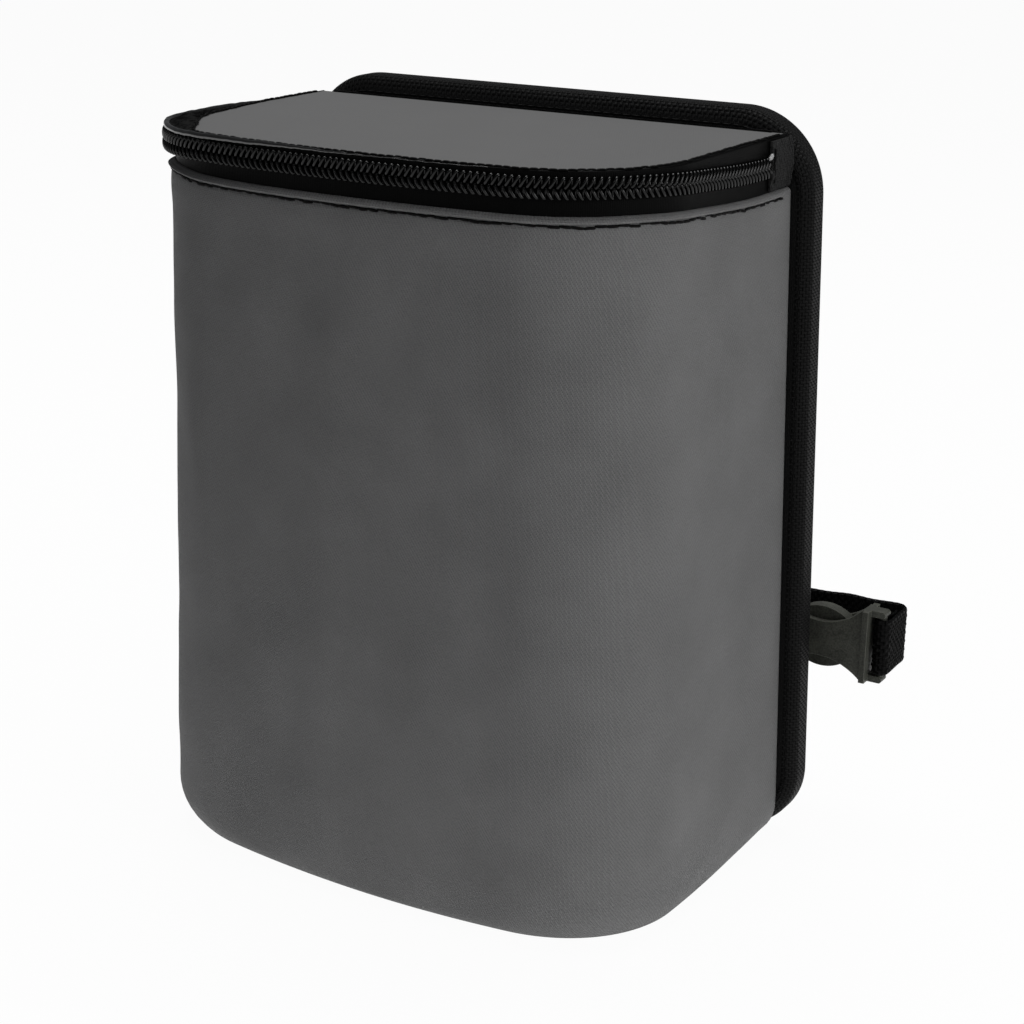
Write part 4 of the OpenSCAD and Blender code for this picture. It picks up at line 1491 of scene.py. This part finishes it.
@dataclass
class BackPanel:
    """The padded back panel: board and foam in black cloth, with a woven binding round its edge."""

    plan: BodyPlan = PLAN
    top_width: float = 0.171
    bottom_width: float = 0.184
    top_z: float = 0.221
    lift: float = 0.0025
    top_r: float = 0.024
    bottom_r: float = 0.020
    binding: float = 0.0009
    front_lap: float = 0.0035
    rear_lap: float = 0.010
    soft_r: float = 0.0050
    soft_y: float = 0.0038
    round_r: float = 0.0032
    top_lap: float = 0.0022
    cover_in: float = 0.0011
    cover_rise: float = 0.0014
    cover_sunk: float = 0.0024

    def outline(self, count: int, inset: float = 0.0) -> tuple[Array, Array]:
        """Places round the panel's edge and the directions outwards, evenly spaced.

        Args:
            count: Number of places.
            inset: How far inside the edge they lie.

        Returns:
            Points x, z and unit directions x, z.
        """
        slope = (self.bottom_width - self.top_width) / 2 / (self.top_z - self.lift)
        lean = math.atan(slope)

        def centre(r: float, z: float) -> Array:
            """Middle of a corner arc of radius r at height z."""
            return np.array([self.top_width / 2 + slope * (self.top_z - z) - r / math.cos(lean), z])

        def arc(c: Array, r: float, a0: float, a1: float) -> tuple[Array, Array]:
            """Points and directions of an arc."""
            a = np.linspace(a0, a1, 60)
            d = np.stack([np.cos(a), np.sin(a)], -1)
            return c + (r - inset) * d, d

        low = arc(centre(self.bottom_r, self.lift + self.bottom_r), self.bottom_r, -math.pi / 2, lean)
        high = arc(centre(self.top_r, self.top_z - self.top_r), self.top_r, lean, math.pi / 2)
        p = np.concatenate([low[0], high[0]])
        d = np.concatenate([low[1], high[1]])
        flip = np.array([-1.0, 1.0])
        p = np.concatenate([p, p[::-1] * flip, p[:1]])
        d = np.concatenate([d, d[::-1] * flip, d[:1]])
        at = np.concatenate([[0.0], np.cumsum(np.linalg.norm(np.diff(p, axis=0), axis=1))])
        want = np.linspace(0, at[-1], count, endpoint=False)
        points = np.stack([np.interp(want, at, p[:, k]) for k in range(2)], -1)
        ways = unit(np.stack([np.interp(want, at, d[:, k]) for k in range(2)], -1))
        return points, ways

    def edge_len(self) -> float:
        """Length of the panel's edge."""
        p, _ = self.outline(600)
        return float(np.linalg.norm(np.roll(p, -1, axis=0) - p, axis=1).sum())

    def top_reach(self, z: Array) -> Array:
        """How much further the front lap reaches down along the top: a smooth step of the height."""
        return self.top_lap * smooth_step(z, self.top_z - 0.012, self.top_z - 0.002)

    def ribbon(self) -> bpy.types.Object:
        """The binding: a ribbon folded round the panel's edge, thicker where it turns.

        Its section goes from the front lap's inner edge, round the edge with soft corners, to the
        rear lap's inner edge, and is carried round the outline.
        """
        count, round_r = 720, self.round_r
        front, rear = self.plan.back_y, self.plan.panel_rear
        a = np.linspace(0, math.pi / 2, 8)
        b = np.linspace(math.asin(1 - self.front_lap / self.soft_r), math.pi / 2, 14)
        depth_y = np.concatenate([
            front + self.soft_y * (1 - np.cos(b)), rear - round_r * (1 - np.sin(a)), np.full(8, rear)])
        inset = np.concatenate([
            self.soft_r * (1 - np.sin(b)), round_r * (1 - np.cos(a)),
            np.linspace(round_r + 0.0004, self.rear_lap, 8)])
        swell = 0.0004 * np.sin(np.linspace(0, np.pi, len(inset)))
        p, way = self.outline(count)
        along = np.arange(count) / count * self.edge_len()
        wobble = 0.00035 * soft_noise(along * 2 * np.pi / self.edge_len(), 12, 2 * np.pi, 14)
        section = len(inset)
        reach = self.top_reach(p[:, 1])[:, None] * np.clip(1 - np.arange(section) / 9, 0, 1) ** 1.5
        place = p[:, None] - way[:, None] * (inset - swell + reach)[..., None]
        rear_wave = smooth_step(np.linspace(0, 1, section), 0.8, 1.0) * wobble[:, None]
        place = place - way[:, None] * rear_wave[..., None]
        outer = spread(place[..., 0], depth_y, place[..., 1])
        away_y = np.sign(depth_y - (front + rear) / 2) * smooth_step(inset, round_r * 0.3, round_r)
        away_r = 1 - smooth_step(inset, 0.0, round_r)
        normal = unit(spread(way[:, None, 0] * away_r, away_y, way[:, None, 1] * away_r))
        inner = outer - normal * self.binding
        across = np.cumsum(np.concatenate([[0], np.hypot(np.diff(depth_y), np.diff(inset))]))
        surface = self.closed(outer, inner, spread(along[:, None], across[None]))
        piece = surface.piece("binding_ribbon", BINDING, Body.ROOT)
        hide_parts("back_binding")
        return piece

    @staticmethod
    def closed(outer: Array, inner: Array, uv: Array) -> Surface:
        """A shell whose last row joins its first: the section's ring is carried round a closed way."""
        ring = np.concatenate([outer, inner[:, ::-1]], axis=1)
        n, size = ring.shape[:2]
        i, j = np.meshgrid(np.arange(n), np.arange(size), indexing="ij")
        row, after = i * size, (i + 1) % n * size
        turned = (j + 1) % size
        quads = np.stack([row + j, row + turned, after + turned, after + j], -1).reshape(-1, 4)
        face = np.cross(ring[1, 1] - ring[0, 0], ring[0, 1] - ring[1, 0])
        if np.dot(face, outer[0, 0] - inner[0, 0]) > 0:
            quads = quads[:, ::-1]
        chart = np.concatenate([uv, uv[:, ::-1]], axis=1)
        return Surface(ring.reshape(-1, 3), quads, chart.reshape(-1, 2))

    def pad(self) -> bpy.types.Object:
        """The padded cover: front and rear cloth over foam, swollen by pressure and held at the binding."""
        slack, strap = self.plan.slack, Strap()
        rings, count = 34, 168
        p, _ = self.outline(count, self.cover_in)
        share = np.linspace(0.02, 1, rings)[:, None]
        centre = np.array([0.0, (self.top_z + self.lift) / 2])
        x, z = np.moveaxis(centre + (p[None] - centre) * share[..., None] ** 0.9, -1, 0)
        front, rear = self.plan.back_y + slack, self.plan.panel_rear - slack
        rear_face = spread(x, rear + self.cover_rise * smooth_step(1 - share, 0.0, 0.22), z)
        pinned = np.zeros((count, rings), bool)
        pinned[:, -4:] = True
        settled = ClothRun(pressure=0.9, shrink=-0.004, cap=0.0016).run(
            np.swapaxes(rear_face, 0, 1), pinned, wraps=True)
        rear_face = np.swapaxes(settled, 0, 1)
        from_x, from_z = rear_face[..., 0] - strap.anchor_x, rear_face[..., 2] - strap.middle_z
        seat = smooth_step(np.hypot(from_x, from_z * 0.8), 0.012, 0.035)
        rear_face[..., 1] = rear + (rear_face[..., 1] - rear) * (0.12 + 0.88 * seat)
        front_face = spread(x, front + np.where(share == 1, self.cover_sunk, 0.0), z)
        rows = np.concatenate([rear_face, front_face[::-1]], axis=0)
        piece = Surface.loft(rows, rows[..., (0, 2)]).piece("panel_pad", BLACK_CLOTH, Body.ROOT)
        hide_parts("back_cover_front", "back_foam", "back_cover_rear")
        return piece

    def binding_stitches(self) -> bpy.types.Object:
        """Stitches through the binding, near its inner edge, on the front and on the rear."""
        plan = self.plan
        rows: list[Surface] = []
        for inset, y, way in ((self.front_lap - 0.0012, plan.back_y - 0.0001, -1.0),
                              (self.rear_lap - 0.0018, plan.panel_rear + 0.0001, 1.0)):
            p, ways = self.outline(900, inset)
            p = p - ways * (self.top_reach(p[:, 1]) * (way < 0))[:, None]
            p = np.concatenate([p, p[:1]])
            line = np.stack([p[:, 0], np.full(len(p), y), p[:, 1]], -1)
            up = np.broadcast_to(np.array([0.0, way, 0.0]), line.shape)
            rows.append(Stitching(pitch=0.0032, length=0.0029, radius=0.00026).run(line, up, 3))
        return rows[0].plus(rows[1]).piece("binding_stitches", THREAD, Body.ROOT)


def even_path(points: Array, spacing: float) -> tuple[Array, Array]:
    """Evenly spaced points along a line of points, with its corners softened, and the distance of each.

    Args:
        points: Points x, y of the line.
        spacing: Distance wanted between points.

    Returns:
        The new points and their distances from the start.
    """
    at = np.concatenate([[0.0], np.cumsum(np.linalg.norm(np.diff(points, axis=0), axis=1))])
    count = max(8, int(at[-1] / spacing))
    want = np.linspace(0, at[-1], count)
    line = np.stack([np.interp(want, at, points[:, k]) for k in range(2)], -1)
    kernel = np.array([1.0, 4.0, 6.0, 4.0, 1.0]) / 16
    for _ in range(3):
        wide = np.concatenate([2 * line[:1] - line[2:0:-1], line, 2 * line[-1:] - line[-2:-4:-1]])
        line = np.stack([np.convolve(wide[:, k], kernel, "valid") for k in range(2)], -1)
    return line, want


def ease_curve(x0: float, y0: float, x1: float, y1: float, count: int = 20) -> Array:
    """A line that leaves and arrives level: y follows 3u^2 - 2u^3 between the two ends."""
    u = np.linspace(0, 1, count)
    return np.stack([x0 + (x1 - x0) * u, y0 + (y1 - y0) * smooth_step(u, 0, 1)], -1)


def arc_line(cx: float, cy: float, r: float, a0: float, a1: float, count: int = 14) -> Array:
    """Points of a circle's arc between two angles in degrees."""
    a = np.radians(np.linspace(a0, a1, count))
    return np.stack([cx + r * np.cos(a), cy + r * np.sin(a)], -1)


@dataclass
class Strap:
    """The strap: woven webbing on edge behind the panel, joined by a side-release buckle."""

    width: float = 0.018
    thick: float = 0.0015
    middle_z: float = 0.0595
    rear_y: float = PLAN.panel_rear
    near_gap: float = 0.017
    far_gap: float = 0.032
    far_lean: float = 0.010
    anchor_x: float = -0.058
    anchor_len: float = 0.026
    fold_x: float = 0.108
    bar_r: float = 0.0012
    bar_room: float = 0.00045
    socket_len: float = 0.031
    release: float = 0.025
    clear: float = 0.0003
    male_flange: float = 0.003
    male_slot: float = 0.0046
    loop_over: float = 0.006
    rib: float = 0.0011
    rib_rise: float = 0.0005
    patch_over: float = 0.002
    patch_thick: float = 0.0006

    @property
    def near_y(self) -> float:
        """The buckle's line, from front to back."""
        return self.rear_y + self.near_gap

    @property
    def far_y(self) -> float:
        """The far layer's line."""
        return self.rear_y + self.far_gap

    @property
    def bar_x(self) -> float:
        """Middle of the socket's bar."""
        return self.fold_x - self.wrap

    @property
    def wrap(self) -> float:
        """Radius of the webbing's middle round a bar."""
        return self.bar_r + 0.00015 + self.thick / 2

    @property
    def male_bar_x(self) -> float:
        """Middle of the prong half's bar."""
        mouth = self.bar_x - self.bar_r - self.thick - self.bar_room - self.socket_len
        return mouth - self.clear - self.male_flange - self.male_slot - self.bar_r

    @property
    def short_end(self) -> float:
        """End of the short strap, between the legs of the loop."""
        return self.male_bar_x - self.bar_r - self.release - 0.0015

    def band(self, path: Array, seed: int) -> Surface:
        """Webbing along a path: a flat band with woven ribs and a rolled selvedge.

        The face at a place (a, w) stands out by rib height times |sin| of a pair of crossed waves,
        so raised blocks alternate like bricks.

        Args:
            path: Points x, y of its middle line.
            seed: Seed of its slight unevenness.

        Returns:
            The closed band.
        """
        line, at = even_path(path, 0.00045)
        along = unit(np.gradient(line, axis=0))
        side = np.stack([-along[:, 1], along[:, 0]], -1)
        across = np.linspace(-1, 1, 37)
        w = across * self.width / 2
        a, b = np.meshgrid(at, w, indexing="ij")
        block = np.sin(2 * np.pi * a / (2 * self.rib)) * np.sin(2 * np.pi * b / (2 * self.rib * 1.25))
        height = self.rib_rise * block * (1 - smooth_step(np.abs(b) / self.width * 2, 0.8, 0.97))
        edge = np.sqrt(np.clip(1 - (np.abs(across) - 0.93).clip(0) / 0.07, 0.06, 1))
        half = self.thick / 2 * edge[None, :]
        scallop = 0.00003 * np.sin(2 * np.pi * a / (2 * self.rib)) * smooth_step(np.abs(across), 0.8, 1.0)
        drift = 0.0003 * soft_noise(at, seed, 0.09)[:, None]
        z = self.middle_z + b + np.sign(b) * scallop + drift
        curl = 0.00004 * across[None, :] ** 2
        faces = []
        for sign in (1, -1):
            lift = sign * (half + (height * sign - self.rib_rise) * 0.5 + 0.00008) + curl
            xy = line[:, None] + side[:, None] * lift[..., None]
            faces.append(np.concatenate([xy, z[..., None]], -1))
        return Surface.shell(faces[0], faces[1], np.stack([a, b], -1))

    def long_path(self) -> Array:
        """The far layer's line: sewn end, rear bend, right-hand fold and the turn round the bar."""
        start = self.rear_y + self.thick * 1.5 + 0.0002
        end = self.anchor_x + self.anchor_len / 2
        r, fold = self.wrap, 0.003
        tail_x = self.bar_x + r - self.thick - 0.0002
        return np.concatenate([
            [[self.anchor_x - self.anchor_len / 2, start]],
            ease_curve(end, start, end + 0.043, self.far_y - self.far_lean),
            arc_line(self.fold_x - fold, self.far_y - fold, fold, 90, 0),
            [[self.bar_x + r, self.near_y + 0.005]],
            arc_line(self.bar_x, self.near_y, r, 0, -180),
            ease_curve(self.near_y + 0.0005, self.bar_x - r, self.near_y + 0.0065, tail_x, 7)[:, ::-1],
            [[tail_x, self.near_y + 0.010]]])

    def short_path(self) -> Array:
        """The near layer's line from the sewn end to the prong half."""
        start = self.rear_y + self.thick / 2
        end = self.short_end
        return np.concatenate([
            [[self.anchor_x - self.anchor_len / 2, start]],
            ease_curve(self.anchor_x + self.anchor_len / 2, start, end - 0.033, self.near_y),
            [[end, self.near_y]]])

    def loop_path(self) -> Array:
        """The loop round the prong half's bar, with its two legs beside the short strap."""
        leg = self.thick + 0.0003
        legs_x = self.male_bar_x - 0.007
        end = self.short_end - self.loop_over
        return np.concatenate([
            [[end, self.near_y + leg], [legs_x, self.near_y + leg]],
            arc_line(self.male_bar_x, self.near_y, self.wrap, 90, -90),
            [[legs_x, self.near_y - leg], [end, self.near_y - leg]]])

    def build(self) -> list[bpy.types.Object]:
        """The three lengths of webbing and the sewn patch."""
        made = []
        for name, node, path, body, seed in (
            ("strap_far", "strap_long", self.long_path(), Body.ROOT, 2),
            ("strap_near", "strap_short", self.short_path(), Body.ROOT, 5),
            ("strap_buckle_loop", "buckle_webbing", self.loop_path(), Body.BUCKLE, 9),
        ):
            piece = self.band(path, seed).piece(name, WEBBING, body, sharp=75)
            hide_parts(node)
            made.append(piece)
        made.append(self.patch())
        return made

    def patch(self) -> bpy.types.Object:
        """The patch that covers both sewn ends, pressed down at its edges."""
        low = self.rear_y + 2 * self.thick + 0.0002
        over = self.patch_over
        u, v = span((0, 1, 60), (0, 1, 60))
        x = self.anchor_x - self.anchor_len / 2 + (self.anchor_len - over) * u
        z = self.middle_z - self.width / 2 - over + (self.width + 2 * over) * v
        rim = np.minimum(np.minimum(u, 1 - u), np.minimum(v, 1 - v))
        puff = 0.0005 * smooth_step(rim, 0.0, 0.1) + 0.00025 * smooth_step(rim, 0.12, 0.3)
        face = spread(x, low + self.patch_thick + puff, z)
        surface = Surface.shell(face, spread(x, low, z), face[..., (0, 2)])
        piece = surface.piece("strap_patch_cloth", BLACK_CLOTH, Body.ROOT)
        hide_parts("strap_patch")
        return piece


@dataclass
class Hardware:
    """The rigid pieces that keep their CAD shape and get a finish."""

    finishes: dict[str, Finish] = field(default_factory=lambda: {
        "slider": STEEL, "pull_tab": STEEL, "buckle_socket": BUCKLE, "buckle_prongs": BUCKLE,
        "bottom_board": BOARD, "lid_board": BOARD, "back_board": BOARD})

    def dress(self, nodes: dict[str, bpy.types.Object]) -> None:
        """Gives each rigid node its finish.

        Args:
            nodes: The frame's nodes by name.
        """
        for name, finish in self.finishes.items():
            mesh = nodes[name].data
            mesh.materials.clear()
            mesh.materials.append(finish.material())
            LOG.info("dressed %s", name)


@dataclass
class Studio:
    """The plain floor, the lights and the camera at the photograph's angle."""

    azimuth: float = 32.258
    elevation: float = 18.431
    roll: float = 0.446
    distance: float = 0.6273
    target: tuple[float, float, float] = (0.00495, 0.005, 0.10412)
    focal_px: float = 2139.66
    shift_px: float = 40.1
    frame_px: float = 1024.0
    sensor: float = 36.0
    floor_half: float = 4.0
    floor_white: float = 0.96
    fill: float = 0.12
    lamps: tuple[tuple[str, tuple[float, float, float], float, float], ...] = (
        ("key", (1.3, -0.15, 0.55), 0.6, 7.7),
        ("front", (0.15, -1.25, 0.95), 0.16, 0.7),
        ("top", (-0.1, 0.25, 1.3), 0.9, 12.9),
    )

    def camera(self) -> None:
        """The camera, placed on a circle round the target and turned by a small roll."""
        az, el, roll = (math.radians(a) for a in (self.azimuth, self.elevation, self.roll))
        back = Vector((math.sin(az) * math.cos(el), -math.cos(az) * math.cos(el), math.sin(el)))
        right = (-back).cross(Vector((0, 0, 1))).normalized()
        up = right.cross(-back)
        turned = right * math.cos(roll) + up * math.sin(roll)
        over = up * math.cos(roll) - right * math.sin(roll)
        data = bpy.data.cameras.new("photo_camera")
        data.sensor_width = self.sensor
        data.lens = self.focal_px / self.frame_px * self.sensor
        data.shift_x = self.shift_px / self.frame_px
        data.clip_start = 0.01
        camera = bpy.data.objects.new("photo_camera", data)
        place = Matrix((turned, over, back)).transposed().to_4x4()
        place.translation = Vector(self.target) + back * self.distance
        camera.matrix_world = place
        bpy.context.scene.collection.objects.link(camera)
        bpy.context.scene.camera = camera

    @staticmethod
    def backdrop(material: bpy.types.Material, share: float) -> None:
        """A material that is white to the camera, in gloss and through glass, and keeps soft shadows."""
        material.use_nodes = True
        material.node_tree.nodes.clear()
        graph = Graph(material)
        plain = graph.node("ShaderNodeBsdfDiffuse", Color=(0.82, 0.82, 0.82, 1.0))
        white = graph.node("ShaderNodeEmission", Color=(1.0, 1.0, 1.0, 1.0), Strength=1.0)
        path = graph.node("ShaderNodeLightPath")
        seen = graph.math("MAXIMUM", path.outputs["Is Camera Ray"], path.outputs["Is Glossy Ray"])
        seen = graph.math("MAXIMUM", seen, path.outputs["Is Transmission Ray"])
        mix = graph.node("ShaderNodeMixShader")
        graph.put(mix.inputs[0], graph.math("MULTIPLY", seen, share))
        graph.put(mix.inputs[1], plain.outputs[0])
        graph.put(mix.inputs[2], white.outputs[0])
        out = graph.node("ShaderNodeOutputMaterial")
        graph.put(out.inputs["Surface"], mix.outputs[0])

    def floor(self) -> None:
        """A wide level floor under the bin."""
        half = self.floor_half
        mesh = bpy.data.meshes.new("floor")
        corners = [(-half, -half, 0), (half, -half, 0), (half, half, 0), (-half, half, 0)]
        mesh.from_pydata(corners, [], [(0, 1, 2, 3)])
        material = bpy.data.materials.new("studio_floor")
        self.backdrop(material, self.floor_white)
        mesh.materials.append(material)
        floor = bpy.data.objects.new("floor", mesh)
        bpy.context.scene.collection.objects.link(floor)

    def world(self) -> None:
        """A pale world: white to the camera, and a soft fill for the object."""
        world = bpy.data.worlds.new("studio")
        world.use_nodes = True
        tree = world.node_tree
        tree.nodes.clear()
        fill = tree.nodes.new("ShaderNodeBackground")
        fill.inputs["Color"].default_value = (0.95, 0.97, 1.0, 1.0)
        fill.inputs["Strength"].default_value = self.fill
        white = tree.nodes.new("ShaderNodeBackground")
        white.inputs["Color"].default_value = (1.0, 1.0, 1.0, 1.0)
        path = tree.nodes.new("ShaderNodeLightPath")
        mix = tree.nodes.new("ShaderNodeMixShader")
        out = tree.nodes.new("ShaderNodeOutputWorld")
        tree.links.new(path.outputs["Is Camera Ray"], mix.inputs[0])
        tree.links.new(fill.outputs[0], mix.inputs[1])
        tree.links.new(white.outputs[0], mix.inputs[2])
        tree.links.new(mix.outputs[0], out.inputs[0])
        bpy.context.scene.world = world

    @staticmethod
    def lamp(name: str, place: Sequence[float], size: float, power: float,
             aim: Sequence[float]) -> bpy.types.Object:
        """A square area lamp aimed at a point.

        Args:
            name: Name of the lamp.
            place: Where it stands.
            size: Length of its side.
            power: Its power in watts.
            aim: The point that it faces.

        Returns:
            The lamp.
        """
        data = bpy.data.lights.new(name, "AREA")
        data.size = size
        data.energy = power
        lamp = bpy.data.objects.new(name, data)
        way = Vector(aim) - Vector(place)
        lamp.rotation_euler = way.to_track_quat("-Z", "Y").to_euler()
        lamp.location = place
        bpy.context.scene.collection.objects.link(lamp)
        return lamp

    def lights(self) -> None:
        """A key from the right, a small front lamp for glints, a soft top light and a hidden low glow."""
        for name, place, size, power in self.lamps:
            self.lamp(name, place, size, power, (0.0, 0.0, 0.11))
        glow = self.lamp("glow", (0.02, -0.02, 0.0004), 0.27, 0.09, (0.02, -0.02, 1.0))
        glow.data.shape = "DISK"
        glow.visible_camera = False
        glow.visible_glossy = False

    def build(self) -> None:
        """Sets up view, camera, floor, world and lights."""
        bpy.context.scene.view_settings.view_transform = "Standard"
        self.camera()
        self.floor()
        self.world()
        self.lights()


def main() -> None:
    """Builds the studio, then each sub-assembly in the order in which it is sewn."""
    logging.basicConfig(level=logging.INFO, format="%(message)s")
    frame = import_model()
    Studio().build()
    bag = Bag()
    bag.settle()
    lid = Lid()
    zipper = Zipper()
    panel = BackPanel()
    strap = Strap()
    steps: list[Callable[[], object]] = [
        bag.wall, bag.hem_stitches, bag.base, bag.padding, bag.liner,
        lid.top_cloth, lid.under_lining, lid.hinge, lid.rear_strip,
        zipper.lower_tape, zipper.upper_tape, zipper.rim_roll, zipper.coils, zipper.edge_stitches,
        lambda: zipper.tab_cloth(True), lambda: zipper.tab_cloth(False),
        zipper.tab_stitches, zipper.top_stop,
        panel.ribbon, panel.pad, panel.binding_stitches,
        strap.build,
    ]
    for step in steps:
        made = step()
        for piece in made if isinstance(made, list) else [made]:
            LOG.info("%s: %d faces", piece.name, len(piece.data.polygons))
    Hardware().dress(frame["nodes"])


if __name__ == "__main__":
    main()
